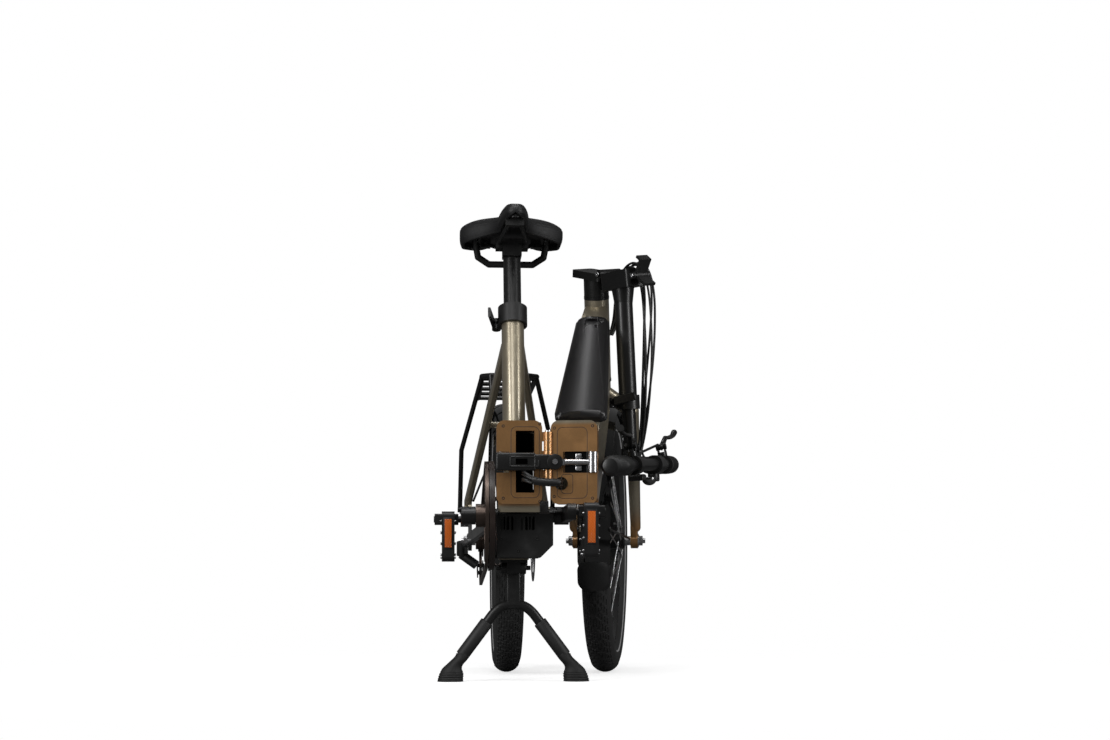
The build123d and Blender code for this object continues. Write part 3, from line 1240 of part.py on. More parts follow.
CROWN_TOP = HEAD_BOTTOM - STEER_AXIS * 5.3
CROWN_BOTTOM = CROWN_TOP - STEER_AXIS * 34
SHOULDER = (BLADE_OUT, -530.0, 500.0)
BLADE_END = (BLADE_OUT, -642.0, 284.0)
FORK_END_IN = FRONT_SPACING / 2
FRONT_CALIPER_FACE = 48.0

with BuildPart() as fork:
    rod(CROWN_BOTTOM + STEER_AXIS * 3, HEAD_TOP + STEER_AXIS * 40, STEERER_RADIUS)
    rod(CROWN_BOTTOM, CROWN_TOP, 22)
    for hand in (1, -1):
        shoulder = mirrored(SHOULDER, hand)
        cone(CROWN_TOP - STEER_AXIS * 13, shoulder, 13, 14)
        ball(shoulder, 14)
        cone(shoulder, mirrored(BLADE_END, hand), 13.9, 10)
        ball(mirrored(BLADE_END, hand), 10)
        middle = hand * (FORK_END_IN + FORK_END_THICKNESS / 2)
        flat_bar((middle, -641, 288), (middle, -654, 256), FORK_END_THICKNESS, 20)
        rod(
            FRONT_AXLE + Vector(hand * FORK_END_IN, 0, 0),
            FRONT_AXLE + Vector(hand * (FORK_END_IN + FORK_END_THICKNESS), 0, 0),
            15,
        )
    # The boss that the brake's caliper is bolted to.
    block((FRONT_CALIPER_FACE, -630, 298), (BLADE_OUT, -602, 320))
    rod(FRONT_AXLE - Vector(80, 0, 0), FRONT_AXLE + Vector(80, 0, 0), AXLE_RADIUS + 0.1, mode=Mode.SUBTRACT)
keep(fork, "fork", FOLD)

with BuildPart() as front_guard:
    arc_band(FRONT_AXLE, FRONT_GUARD_RADIUS, FRONT_GUARD_RADIUS + GUARD_WALL, -14, 125, GUARD_HALF_WIDTH)
    reach = (CROWN_BOTTOM - FRONT_AXLE).length - FRONT_GUARD_RADIUS
    rod(CROWN_BOTTOM - STEER_AXIS, CROWN_BOTTOM - STEER_AXIS * reach, 6)
    # The flap at the low end.
    with BuildSketch(side(-23)) as flap:
        with BuildLine():
            arcs = [
                CenterArc((FRONT_AXLE.Y, FRONT_AXLE.Z), FRONT_GUARD_RADIUS + step, -21, 9)
                for step in (0.3, GUARD_WALL - 0.3)
            ]
            Line(arcs[0] @ 0, arcs[1] @ 0)
            Line(arcs[0] @ 1, arcs[1] @ 1)
        make_face()
    extrude(flap.sketch, amount=46)
    for hand in (1, -1):
        edge = around(FRONT_AXLE, FRONT_GUARD_RADIUS + 1, 3, hand * (GUARD_HALF_WIDTH + 0.5))
        foot = mirrored((FORK_END_IN - 2 - FIT, -640, 262), hand)
        rod(edge, foot, 2)
        ball(foot, 2)
keep(front_guard, "front_mudguard", FOLD)

with BuildPart() as front_caliper:
    block((30, -620, 290), (FRONT_CALIPER_FACE, -588, 342))
    fillet(front_caliper.edges().filter_by(Axis.X), 6)
    block(
        (FRONT_HUB_END - FIT, -640, 286),
        (FRONT_HUB_END + DISC_THICKNESS + FIT, -580, 334),
        mode=Mode.SUBTRACT,
    )
keep(front_caliper, "front_brake_caliper", FOLD)

# ---------------------------------------------------------------- handlepost

HINGE_PLANE = Plane(origin=HINGE_POINT, x_dir=HINGE_ACROSS, z_dir=HINGE_NORMAL)
HINGE_HALF_WIDTH = 24.0
MIDDLE_BARREL = 9.0
HINGE_BARREL_RADIUS = 8.0
HINGE_PIN_RADIUS = 3.5
HINGE_REACH = 85.0
HINGE_GAP = 0.2
UPPER_DEPTH = 32.0
LOWER_DEPTH = 14.0


def hinge_block(corner, opposite, mode=Mode.ADD):
    """A box in the handlepost hinge's own frame: away from the pin, along the pin, up from the plane."""
    corner, opposite = Vector(corner), Vector(opposite)
    with Locations(HINGE_PLANE.location * Location((corner + opposite) / 2)):
        Box(*(abs(far - near) for near, far in zip(corner, opposite)), mode=mode)


def hinge_point(away, along, up):
    """A point given in the handlepost hinge's own frame."""
    return HINGE_POINT + HINGE_ACROSS * away + HINGE_PLANE.y_dir * along + HINGE_NORMAL * up


def hinge_rod(start, end, radius, mode=Mode.ADD):
    """A rod given in the handlepost hinge's own frame."""
    rod(hinge_point(*start), hinge_point(*end), radius, mode=mode)


with BuildPart() as stem_base:
    # A socket clamped on the steerer, with the hinge's lower flange on top.
    rod(HEAD_TOP + STEER_AXIS * 5.3, HEAD_TOP + STEER_AXIS * 70, 23)
    hinge_block((-30, -60, -HINGE_GAP), (120, 60, 60), mode=Mode.SUBTRACT)
    hinge_block((0.6, -HINGE_HALF_WIDTH, -LOWER_DEPTH), (HINGE_REACH, HINGE_HALF_WIDTH, -HINGE_GAP))
    fillet(stem_base.edges().filter_by(Axis((0, 0, 0), HINGE_NORMAL)), 8)
    hinge_block((0, -MIDDLE_BARREL, -HINGE_BARREL_RADIUS), (8, MIDDLE_BARREL, -HINGE_GAP))
    hinge_rod((0, -MIDDLE_BARREL, 0), (0, MIDDLE_BARREL, 0), HINGE_BARREL_RADIUS)
    for hand in (1, -1):
        hinge_rod(
            (0, hand * MIDDLE_BARREL, 0),
            (0, hand * (HINGE_HALF_WIDTH + 2), 0),
            HINGE_BARREL_RADIUS + 0.4,
            mode=Mode.SUBTRACT,
        )
    hinge_rod((0, -30, 0), (0, 30, 0), HINGE_PIN_RADIUS + PIN_CLEARANCE, mode=Mode.SUBTRACT)
    rod(HEAD_TOP, HEAD_TOP + STEER_AXIS * 40.3, STEERER_RADIUS + 0.06, mode=Mode.SUBTRACT)
keep(stem_base, "stem_base", FOLD)

CLAMP_SPAN = (225.0, 250.0)
TUBE_BORE = INNER_POST_RADIUS + 0.06
LATCH_EYE = (HINGE_REACH + 7.0, 14.0)
LATCH_EYE_RADIUS = 6.0
LATCH_HALF = 12.0
CLAMP_LUG = OUTER_POST_RADIUS + 11.0
LUG_PLACE = HINGE_PLANE_POINT + STEER_AXIS * (sum(CLAMP_SPAN) / 2) + STEER_BACK * CLAMP_LUG

with BuildPart() as handlepost:
    # The hinge's upper block carries the outer tube, whose top is a split clamp.
    rod(HINGE_PLANE_POINT - STEER_AXIS * 2, HINGE_PLANE_POINT + STEER_AXIS * OUTER_POST_LENGTH, OUTER_POST_RADIUS)
    cone(
        HINGE_PLANE_POINT + STEER_AXIS * (UPPER_DEPTH - 6),
        HINGE_PLANE_POINT + STEER_AXIS * (UPPER_DEPTH + 26),
        OUTER_POST_RADIUS + 5,
        OUTER_POST_RADIUS + 0.3,
    )
    hinge_block((-30, -60, HINGE_GAP), (120, 60, -40), mode=Mode.SUBTRACT)
    hinge_block((1, -HINGE_HALF_WIDTH, HINGE_GAP), (HINGE_REACH, HINGE_HALF_WIDTH, UPPER_DEPTH))
    fillet(handlepost.edges().filter_by(Axis((0, 0, 0), HINGE_NORMAL)), 8)
    for hand in (1, -1):
        inner = hand * (MIDDLE_BARREL + 0.3)
        outer = hand * HINGE_HALF_WIDTH
        hinge_block((0, inner, HINGE_GAP), (10, outer, HINGE_BARREL_RADIUS))
        hinge_rod((0, inner, 0), (0, outer, 0), HINGE_BARREL_RADIUS)
        # Ears for the latch's pin.
        ear = (hand * (LATCH_HALF + 0.4), hand * (LATCH_HALF + 6))
        hinge_block((HINGE_REACH - 2, ear[0], LATCH_EYE[1] - 6), (LATCH_EYE[0], ear[1], LATCH_EYE[1] + 6))
        hinge_rod((LATCH_EYE[0], ear[0], LATCH_EYE[1]), (LATCH_EYE[0], ear[1], LATCH_EYE[1]), 6)
    hinge_rod((LATCH_EYE[0], -LATCH_HALF - 2, LATCH_EYE[1]), (LATCH_EYE[0], LATCH_HALF + 2, LATCH_EYE[1]), 2.5)
    hinge_rod(
        (0, -MIDDLE_BARREL - 0.3, 0),
        (0, MIDDLE_BARREL + 0.3, 0),
        HINGE_BARREL_RADIUS + 0.4,
        mode=Mode.SUBTRACT,
    )
    hinge_rod((0, -HINGE_HALF_WIDTH - 2, 0), (0, HINGE_HALF_WIDTH + 2, 0), HINGE_PIN_RADIUS)
    rod(
        HINGE_PLANE_POINT + STEER_AXIS * CLAMP_SPAN[0],
        HINGE_PLANE_POINT + STEER_AXIS * CLAMP_SPAN[1],
        OUTER_POST_RADIUS + 4.5,
    )
    for hand in (1, -1):
        rod(LUG_PLACE + Vector(hand * 1.5, 0, 0), LUG_PLACE + Vector(hand * 13, 0, 0), 9)
    rod(LUG_PLACE - Vector(16, 0, 0), LUG_PLACE + Vector(25, 0, 0), 2.8)
    rod(LUG_PLACE - Vector(18, 0, 0), LUG_PLACE - Vector(13, 0, 0), 6)
    rod(LUG_PLACE + Vector(21, 0, 0) - STEER_AXIS * 9, LUG_PLACE + Vector(21, 0, 0) + STEER_AXIS * 9, 2.8)
    rod(
        HINGE_PLANE_POINT + STEER_AXIS * 24,
        HINGE_PLANE_POINT + STEER_AXIS * (CLAMP_SPAN[1] + 1),
        TUBE_BORE,
        mode=Mode.SUBTRACT,
    )
keep(handlepost, "handlepost", POST_FOLDED)

CLAMP_CAM = LUG_PLACE + Vector(21, 0, 0)

with BuildPart() as clamp_lever:
    rod(CLAMP_CAM - STEER_AXIS * 8, CLAMP_CAM + STEER_AXIS * 8, 7.4)
    with Locations(Location(Plane(CLAMP_CAM, x_dir=(1, 0, 0), z_dir=STEER_AXIS))):
        Box(40, 40, 6.2, mode=Mode.SUBTRACT)
    flat_bar(CLAMP_CAM + Vector(6.3, -8, 0), CLAMP_CAM + Vector(9, -46, 6), 4.5, 15)
    for out in (1, -1):
        rod(
            CLAMP_CAM + STEER_AXIS * (out * 3.4),
            CLAMP_CAM + STEER_AXIS * (out * 7.6) ,
            7.4,
        )
        flat_bar(
            CLAMP_CAM + STEER_AXIS * (out * 5.4) + Vector(4, 0, 0),
            CLAMP_CAM + STEER_AXIS * (out * 5.4) + Vector(6.5, -14, 2),
            4.5,
            4,
        )
    rod(CLAMP_CAM - STEER_AXIS * 12, CLAMP_CAM + STEER_AXIS * 12, 2.8 + PIN_CLEARANCE, mode=Mode.SUBTRACT)
keep(clamp_lever, "height_clamp_lever", POST_FOLDED)

LATCH_TURN = 38.0

with BuildPart() as post_latch:
    # Locked, its foot hooks under the lower flange and the thumb plate points away from the pin.
    eye = LATCH_EYE
    hinge_rod((eye[0], -LATCH_HALF, eye[1]), (eye[0], LATCH_HALF, eye[1]), LATCH_EYE_RADIUS)
    hinge_block((HINGE_REACH + 3.5, -LATCH_HALF, -LOWER_DEPTH - 5), (HINGE_REACH + 9, LATCH_HALF, eye[1]))
    hinge_block((HINGE_REACH - 6, -LATCH_HALF, -LOWER_DEPTH - 5), (HINGE_REACH + 9, LATCH_HALF, -LOWER_DEPTH - 0.5))
    hinge_block((eye[0], -LATCH_HALF, eye[1] - 2.5), (eye[0] + 32, LATCH_HALF, eye[1] + 2.5))
    hinge_rod((eye[0], -LATCH_HALF - 1, eye[1]), (eye[0], LATCH_HALF + 1, eye[1]), 2.5 + PIN_CLEARANCE, mode=Mode.SUBTRACT)

LATCH_AXIS_POINT = hinge_point(LATCH_EYE[0], 0, LATCH_EYE[1])
LATCH_OPENED = (
    POST_FOLDED
    * Location(LATCH_AXIS_POINT)
    * Location((0, 0, 0), tuple(HINGE_PLANE.y_dir), -LATCH_TURN)
    * Location(-LATCH_AXIS_POINT)
)
keep(post_latch, "handlepost_latch", LATCH_OPENED)

BAR_CENTRE = HINGE_PLANE_POINT + STEER_AXIS * BAR_UP - STEER_BACK * BAR_REACH
BAR_STRAIGHT = 30.0
INNER_POST_LOW = 95.0
INNER_POST_TOP = BAR_UP - 10.0

with BuildPart() as inner_post:
    top = HINGE_PLANE_POINT + STEER_AXIS * INNER_POST_TOP
    rod(HINGE_PLANE_POINT + STEER_AXIS * INNER_POST_LOW, top, INNER_POST_RADIUS, INNER_POST_RADIUS - 2.2)
    rod(top - STEER_AXIS * 22, top + STEER_AXIS * 14, 17)
    rod(top + STEER_AXIS * 4, BAR_CENTRE, 13)
    rod(BAR_CENTRE - Vector(BAR_STRAIGHT - 8, 0, 0), BAR_CENTRE + Vector(BAR_STRAIGHT - 8, 0, 0), 17)
    rod(BAR_CENTRE - Vector(40, 0, 0), BAR_CENTRE + Vector(40, 0, 0), BAR_RADIUS + PIN_CLEARANCE, mode=Mode.SUBTRACT)
keep(inner_post, "inner_post", POST_FOLDED)


def bar_point(hand, distance):
    """A point on the bar's centre line, this far from its middle."""
    swept = Vector(hand * cos(radians(BAR_SWEEP)), 0, 0) + STEER_BACK * sin(radians(BAR_SWEEP))
    return BAR_CENTRE + Vector(hand * BAR_STRAIGHT, 0, 0) + swept * (distance - BAR_STRAIGHT)


with BuildPart() as handlebar:
    rod(BAR_CENTRE - Vector(BAR_STRAIGHT, 0, 0), BAR_CENTRE + Vector(BAR_STRAIGHT, 0, 0), BAR_RADIUS)
    for hand in (1, -1):
        ball(BAR_CENTRE + Vector(hand * BAR_STRAIGHT, 0, 0), BAR_RADIUS)
        rod(bar_point(hand, BAR_STRAIGHT), bar_point(hand, BAR_HALF_LENGTH - 4), BAR_RADIUS)
keep(handlebar, "handlebar", POST_FOLDED)

with BuildPart() as grips:
    for hand in (1, -1):
        start = bar_point(hand, BAR_HALF_LENGTH - GRIP_LENGTH)
        rod(start, bar_point(hand, BAR_HALF_LENGTH), GRIP_RADIUS)
        rod(start, bar_point(hand, BAR_HALF_LENGTH - 3.8), BAR_RADIUS + PIN_CLEARANCE, mode=Mode.SUBTRACT)
keep(grips, "grips", POST_FOLDED)

PERCH_AT = BAR_HALF_LENGTH - GRIP_LENGTH - 14.0
LEVER_DROP = 98.0
LEVER_AWAY = -STEER_BACK * cos(radians(LEVER_DROP)) - STEER_AXIS * sin(radians(LEVER_DROP))
PERCH_REACH = 34.0

with BuildPart() as perches:
    for hand in (1, -1):
        centre = bar_point(hand, PERCH_AT)
        rod(bar_point(hand, PERCH_AT - 8), bar_point(hand, PERCH_AT + 8), 17)
        pivot = centre + LEVER_AWAY * PERCH_REACH
        for step in (1, -1):
            cheek = Vector(1, 0, 0).cross(LEVER_AWAY).normalized() * (step * 6.5)
            rod(centre + LEVER_AWAY * 10 + cheek, pivot + cheek, 2.3)
            rod(pivot + cheek * 0.65, pivot + cheek * 1.5, 6)
        rod(pivot - cheek, pivot + cheek, 2.5)
        rod(centre + LEVER_AWAY * 8, centre + LEVER_AWAY * 24, 9)
        rod(bar_point(hand, PERCH_AT - 12), bar_point(hand, PERCH_AT + 12), BAR_RADIUS + PIN_CLEARANCE, mode=Mode.SUBTRACT)
keep(perches, "brake_perches", POST_FOLDED)


def brake_lever(hand):
    """A two-finger blade that turns on the perch's pin."""
    pivot = bar_point(hand, PERCH_AT) + LEVER_AWAY * PERCH_REACH
    cheek = Vector(1, 0, 0).cross(LEVER_AWAY).normalized()
    with BuildPart() as made:
        rod(pivot - cheek * 3.9, pivot + cheek * 3.9, 6)
        middle = pivot + Vector(hand * 26, 0, 0) + LEVER_AWAY * 20
        tip = pivot + Vector(hand * 112, 0, 0) + LEVER_AWAY * 22
        rod(pivot, middle, 3.8)
        rod(middle - cheek * 4.2, middle + cheek * 4.2, 5.2)
        rod(middle, tip, 4.5)
        rod(tip - cheek * 4.2, tip + cheek * 4.2, 6.2)
        rod(pivot - cheek * 9, pivot + cheek * 9, 2.5 + PIN_CLEARANCE, mode=Mode.SUBTRACT)
    return made


keep(brake_lever(1), "left_brake_lever", POST_FOLDED)
keep(brake_lever(-1), "right_brake_lever", POST_FOLDED)

# ---------------------------------------------------------------- cables


def cable(points, radius):
    """A held cable along straight runs joined by arcs as large as the runs allow."""
    points = [Vector(point) for point in points]
    radii = []
    for before, here, after in zip(points, points[1:], points[2:]):
        turn = (here - before).get_angle(after - here)
        run = min((here - before).length, (after - here).length)
        radii.append(0.45 * run / tan(radians(turn / 2)))
    print("bend radii", [round(bend, 1) for bend in radii])
    with BuildPart() as made:
        with BuildLine() as path:
            FilletPolyline(*points, radius=radii)
        with BuildSketch(Plane(origin=path.line @ 0, z_dir=path.line % 0)):
            Circle(radius)
        sweep(path=path.line)
    return made


HINGE_CABLE_POINTS = (
    (13, -68, 354),
    (14, -98, 347),
    (27, -122, 341),
    (51, -129, 338),
    (68, -121, 338),
    (74.5, -94, 338),
)
keep(cable(HINGE_CABLE_POINTS, 6.5), "hinge_cables")

BAR_CABLE_POINTS = (
    (190, 270, 640),
    (201, 270, 664),
    (205, 258, 705),
    (211, 232, 745),
    (227, 200, 763),
    (242, 176, 750),
    (250, 164, 705),
    (251, 164, 645),
    (250, 165, 585),
    (247, 169, 525),
    (243, 178, 465),
    (236, 188, 412),
)
keep(cable(BAR_CABLE_POINTS, 6), "bar_cables")

# ---------------------------------------------------------------- origin and files

# The overall box of the folded bicycle gives the origin: the middle of its foot.
boxes = [piece.bounding_box() for piece in pieces.values()]
MIDDLE_X = (min(box.min.X for box in boxes) + max(box.max.X for box in boxes)) / 2
MIDDLE_Y = (min(box.min.Y for box in boxes) + max(box.max.Y for box in boxes)) / 2
LOWEST = min(box.min.Z for box in boxes)
SHIFT = Location((-MIDDLE_X, -MIDDLE_Y, -LOWEST))
print("shift", MIDDLE_X, MIDDLE_Y, LOWEST)

for name, piece in pieces.items():
    placed = piece.moved(SHIFT)
    placed.label = name
    export_step(placed, f"parts/{name}.step")
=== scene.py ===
import json
from math import atan2, cos, pi, radians, sin, tau

import bpy
from mathutils import Euler, Matrix, Vector


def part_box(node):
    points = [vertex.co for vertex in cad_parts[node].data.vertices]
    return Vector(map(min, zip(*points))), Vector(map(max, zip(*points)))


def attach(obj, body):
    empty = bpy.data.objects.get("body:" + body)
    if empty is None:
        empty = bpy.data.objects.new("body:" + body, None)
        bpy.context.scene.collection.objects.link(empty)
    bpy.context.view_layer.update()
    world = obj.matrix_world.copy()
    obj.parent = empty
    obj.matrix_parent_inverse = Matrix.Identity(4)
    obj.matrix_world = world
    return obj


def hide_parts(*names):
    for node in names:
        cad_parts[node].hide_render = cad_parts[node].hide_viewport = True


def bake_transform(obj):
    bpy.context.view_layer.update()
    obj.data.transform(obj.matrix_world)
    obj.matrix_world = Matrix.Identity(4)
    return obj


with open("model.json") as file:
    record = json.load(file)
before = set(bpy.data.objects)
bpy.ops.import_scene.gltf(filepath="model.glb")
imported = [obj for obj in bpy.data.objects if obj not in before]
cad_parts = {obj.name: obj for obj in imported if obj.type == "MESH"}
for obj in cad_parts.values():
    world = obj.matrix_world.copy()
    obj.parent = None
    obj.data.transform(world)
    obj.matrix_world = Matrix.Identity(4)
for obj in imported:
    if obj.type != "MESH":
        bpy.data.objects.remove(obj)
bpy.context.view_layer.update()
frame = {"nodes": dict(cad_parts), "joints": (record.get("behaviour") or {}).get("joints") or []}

bpy.ops.object.select_all(action="DESELECT")

# ---------------- camera, floor and lights
# A level camera at shin height in front of the folded bicycle, with a long lens. The studio is a
# white floor and wall, with soft boxes at the sides, in front and above, and a narrow strip overhead.

camera_data = bpy.data.cameras.new("studio_camera")
camera_data.lens = 57.3
camera_data.sensor_width = 36.0
camera_data.shift_y = 0.198
camera = bpy.data.objects.new("studio_camera", camera_data)
camera.location = (-0.2229, -3.2835, 0.1615)
camera.rotation_euler = Euler((pi / 2, 0.0, radians(-3.6)))
bpy.context.scene.collection.objects.link(camera)
bpy.context.scene.camera = camera
bpy.context.scene.view_settings.view_transform = "Standard"


class Wire:
    """A node's output that adds and multiplies like a number."""

    def __init__(self, finish, socket):
        self.finish = finish
        self.socket = socket

    def maths(self, operation, *values):
        return self.finish.node("ShaderNodeMath", {"operation": operation}, dict(enumerate(values)))

    def __add__(self, other):
        return self.maths("ADD", self, other)

    def __sub__(self, other):
        return self.maths("SUBTRACT", self, other)

    def __rsub__(self, other):
        return self.maths("SUBTRACT", other, self)

    def __mul__(self, other):
        return self.maths("MULTIPLY", self, other)

    __radd__ = __add__
    __rmul__ = __mul__


class Finish:
    """One material, written as sums on its wires."""

    def __init__(self, name, colour, roughness, metallic=0.0, **fixed):
        self.material = bpy.data.materials.new(name)
        self.material.use_nodes = True
        self.tree = self.material.node_tree
        self.shader = self.tree.nodes["Principled BSDF"]
        self.set("Base Color", (*colour, 1.0))
        self.set("Roughness", roughness)
        self.set("Metallic", metallic)
        for socket, value in fixed.items():
            self.set(socket.replace("_", " "), value)
        self.place = self.node("ShaderNodeTexCoord", output="Object")

    def set(self, socket, value):
        self.feed(self.shader.inputs[socket], value)

    def feed(self, socket, value):
        if isinstance(value, Wire):
            self.tree.links.new(value.socket, socket)
        else:
            socket.default_value = value

    def node(self, kind, settings=(), values=(), output=0):
        made = self.tree.nodes.new(kind)
        for key, value in dict(settings).items():
            setattr(made, key, value)
        for key, value in dict(values).items():
            self.feed(made.inputs[key], value)
        return Wire(self, made.outputs[output])

    def noise(self, scale, detail=3.0, stretch=(1.0, 1.0, 1.0)):
        moved = self.node("ShaderNodeMapping", {}, {"Vector": self.place, "Scale": stretch})
        return self.node("ShaderNodeTexNoise", {}, {"Vector": moved, "Scale": scale, "Detail": detail})

    def along(self, name):
        return self.node("ShaderNodeSeparateXYZ", {}, {"Vector": self.place}, output=name)

    def step(self, wire, low, high):
        """Rises softly from 0 to 1 between two values."""
        values = {"Value": wire, "From Min": low, "From Max": high}
        return self.node("ShaderNodeMapRange", {"interpolation_type": "SMOOTHSTEP"}, values)

    def within(self, wire, low, high, soft):
        """Is 1 between two values, with soft ends inside them."""
        return self.step(wire, low, low + soft) * self.step(wire, high, high - soft)

    def mix(self, mask, first, second):
        first = first if isinstance(first, Wire) else (*first, 1.0)
        second = second if isinstance(second, Wire) else (*second, 1.0)
        return self.node("ShaderNodeMix", {"data_type": "RGBA"}, {0: mask, 6: first, 7: second}, output=2)

    def bump(self, height, strength, distance):
        values = {"Strength": strength, "Distance": distance, "Height": height}
        self.set("Normal", self.node("ShaderNodeBump", {}, values))


FLOOR_SIZE = 60.0
FLOOR_FADE = (0.35, 1.3)
FLOOR_BOUNCE = (0.16, 0.16, 0.16, 1.0)

floor_finish = Finish("pale_floor", (0.8, 0.8, 0.8), 0.6, 0.0, Emission_Strength=0.7)
floor_finish.set("Roughness", floor_finish.noise(3.0) * 0.1 + 0.55)
floor_finish.set("Emission Color", (1.0, 1.0, 1.0, 1.0))
from_middle = floor_finish.node(
    "ShaderNodeVectorMath", {"operation": "LENGTH"}, {0: floor_finish.place}, output="Value"
)
far_white = floor_finish.node("ShaderNodeEmission", {}, {"Strength": 1.0})
bounce = floor_finish.node("ShaderNodeBsdfDiffuse", {}, {"Color": FLOOR_BOUNCE})
near_floor = Wire(floor_finish, floor_finish.shader.outputs[0])
seen_floor = floor_finish.node(
    "ShaderNodeMixShader", {}, {0: floor_finish.step(from_middle, *FLOOR_FADE), 1: near_floor, 2: far_white}
)
camera_ray = floor_finish.node("ShaderNodeLightPath")
whole_floor = floor_finish.node("ShaderNodeMixShader", {}, {0: camera_ray, 1: bounce, 2: seen_floor})
floor_finish.feed(floor_finish.tree.nodes["Material Output"].inputs["Surface"], whole_floor)
bpy.ops.mesh.primitive_plane_add(size=FLOOR_SIZE, location=(0.0, 0.0, 0.0))
floor = bpy.context.active_object
floor.name = "floor"
floor.data.materials.append(floor_finish.material)

WALL_SEEN = 1.0
WALL_LIGHT = 0.1

world = bpy.data.worlds.new("studio_world")
world.use_nodes = True
bpy.context.scene.world = world
wall = world.node_tree.nodes["Background"]
wall.inputs["Color"].default_value = (1.0, 1.0, 1.0, 1.0)
ray = world.node_tree.nodes.new("ShaderNodeLightPath")
glow = world.node_tree.nodes.new("ShaderNodeMath")
glow.operation = "MULTIPLY_ADD"
glow.inputs[1].default_value = WALL_SEEN - WALL_LIGHT
glow.inputs[2].default_value = WALL_LIGHT
world.node_tree.links.new(ray.outputs["Is Camera Ray"], glow.inputs[0])
world.node_tree.links.new(glow.outputs[0], wall.inputs["Strength"])


def soft_box(name, place, aim, width, height, power):
    """A rectangular lamp turned to face a point."""
    lamp = bpy.data.lights.new(name, "AREA")
    lamp.shape = "RECTANGLE"
    lamp.size = width
    lamp.size_y = height
    lamp.energy = power
    holder = bpy.data.objects.new(name, lamp)
    holder.location = place
    holder.rotation_euler = (Vector(aim) - Vector(place)).to_track_quat("-Z", "Y").to_euler()
    bpy.context.scene.collection.objects.link(holder)


soft_box("left_soft_box", (-2.1, -1.9, 1.2), (0.0, 0.0, 0.45), 0.5, 2.2, 40.0)
soft_box("right_soft_box", (2.2, -1.5, 1.1), (0.0, 0.0, 0.45), 0.4, 2.0, 30.0)
soft_box("top_strip", (-0.05, 0.35, 2.7), (0.0, -0.1, 0.5), 0.12, 2.2, 5.0)
soft_box("top_soft_box", (0.0, -1.2, 2.7), (0.0, -0.1, 0.45), 1.6, 0.8, 22.0)
soft_box("front_soft_box", (-0.6, -2.6, 2.3), (0.0, -0.1, 0.4), 1.0, 0.8, 10.0)

# ---------------- frame halves
# Welded aluminium tubes and cast hinge plates. The tubes are sprayed in a champagne metallic
# under clear lacquer; the machined faces of the castings show a bronze-orange coat.

CHAMPAGNE = (0.36, 0.315, 0.23)
BRONZE = (0.47, 0.25, 0.1)
SHADOW = (0.006, 0.006, 0.006)


def scaled(colour, share, lift=0.0):
    return tuple(min(1.0, part * share + lift) for part in colour)


def frame_paint(name):
    """Metallic lacquer: fine flakes, a slow drift of tone, and dust that dulls it."""
    roughness = 0.33
    paint = Finish(name, CHAMPAGNE, roughness, 0.75, Coat_Roughness=0.12)
    tone = paint.step(paint.noise(9.0), 0.35, 0.7)
    flake = paint.step(paint.noise(1400.0, 1.0), 0.3, 0.75)
    drift = paint.mix(tone, scaled(CHAMPAGNE, 0.86), CHAMPAGNE)
    paint.champagne = paint.mix(flake, drift, scaled(CHAMPAGNE, 1.22, 0.01))
    paint.bronze = paint.mix(flake, scaled(BRONZE, 0.88), scaled(BRONZE, 1.15))
    dust = paint.step(paint.noise(34.0, 5.0), 0.45, 0.8)
    paint.set("Roughness", dust * 0.12 + (roughness - 0.03))
    paint.set("Coat Weight", 0.6 - dust * 0.25)
    paint.bump(paint.noise(260.0, 2.0), 0.05, 0.0004)
    return paint


def dress(finish, *nodes):
    """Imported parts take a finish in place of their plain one."""
    for node in nodes:
        mesh = frame["nodes"][node].data
        mesh.materials.clear()
        mesh.materials.append(finish.material)


POCKET_X = (-0.104, -0.0718)
POCKET_Z = (0.3224, 0.4246)
NOTCH_X = (-0.0215, 0.0305)
NOTCH_Z = (0.3555, 0.3915)

rear_paint = frame_paint("rear_frame_paint")
across, back, up = (rear_paint.along(name) for name in "XYZ")
plate = rear_paint.step(back, -0.318, -0.326) * rear_paint.step(up, 0.298, 0.306)
rear_coat = rear_paint.mix(plate, rear_paint.champagne, rear_paint.bronze)
# The inside of the cable pocket and the frame beside the sprockets are painted near-black: painted shade in
# the recess and between the parts.
behind_face = rear_paint.step(back, -0.3488, -0.3482) * rear_paint.step(back, -0.28, -0.29)
in_pocket = rear_paint.within(across, *POCKET_X, 0.0004) * rear_paint.within(up, *POCKET_Z, 0.0004)
by_sprockets = rear_paint.step(across, -0.128, -0.131) * rear_paint.step(up, 0.3, 0.29)
pocket = behind_face * in_pocket
rear_paint.set("Base Color", rear_paint.mix(pocket.maths("MAXIMUM", pocket, by_sprockets), rear_coat, SHADOW))
dress(rear_paint, "rear_frame")

front_paint = frame_paint("front_frame_paint")
across, back, up = (front_paint.along(name) for name in "XYZ")
plate = front_paint.step(back, -0.33, -0.345) * front_paint.step(up, 0.442, 0.434)
front_coat = front_paint.mix(plate, front_paint.champagne, front_paint.bronze)
# The notch in the front plate is painted near-black: painted shade in the recess.
notch = front_paint.within(across, *NOTCH_X, 0.001) * front_paint.within(up, *NOTCH_Z, 0.0005)
notch = notch * front_paint.step(back, -0.3634, -0.3628)
front_paint.set("Base Color", front_paint.mix(notch, front_coat, SHADOW))
dress(front_paint, "front_frame")

fork_paint = frame_paint("fork_paint")
blade_end = fork_paint.step(fork_paint.along("Z"), 0.33, 0.27)
fork_paint.set("Base Color", fork_paint.mix(blade_end, fork_paint.champagne, fork_paint.bronze))
dress(fork_paint, "fork")


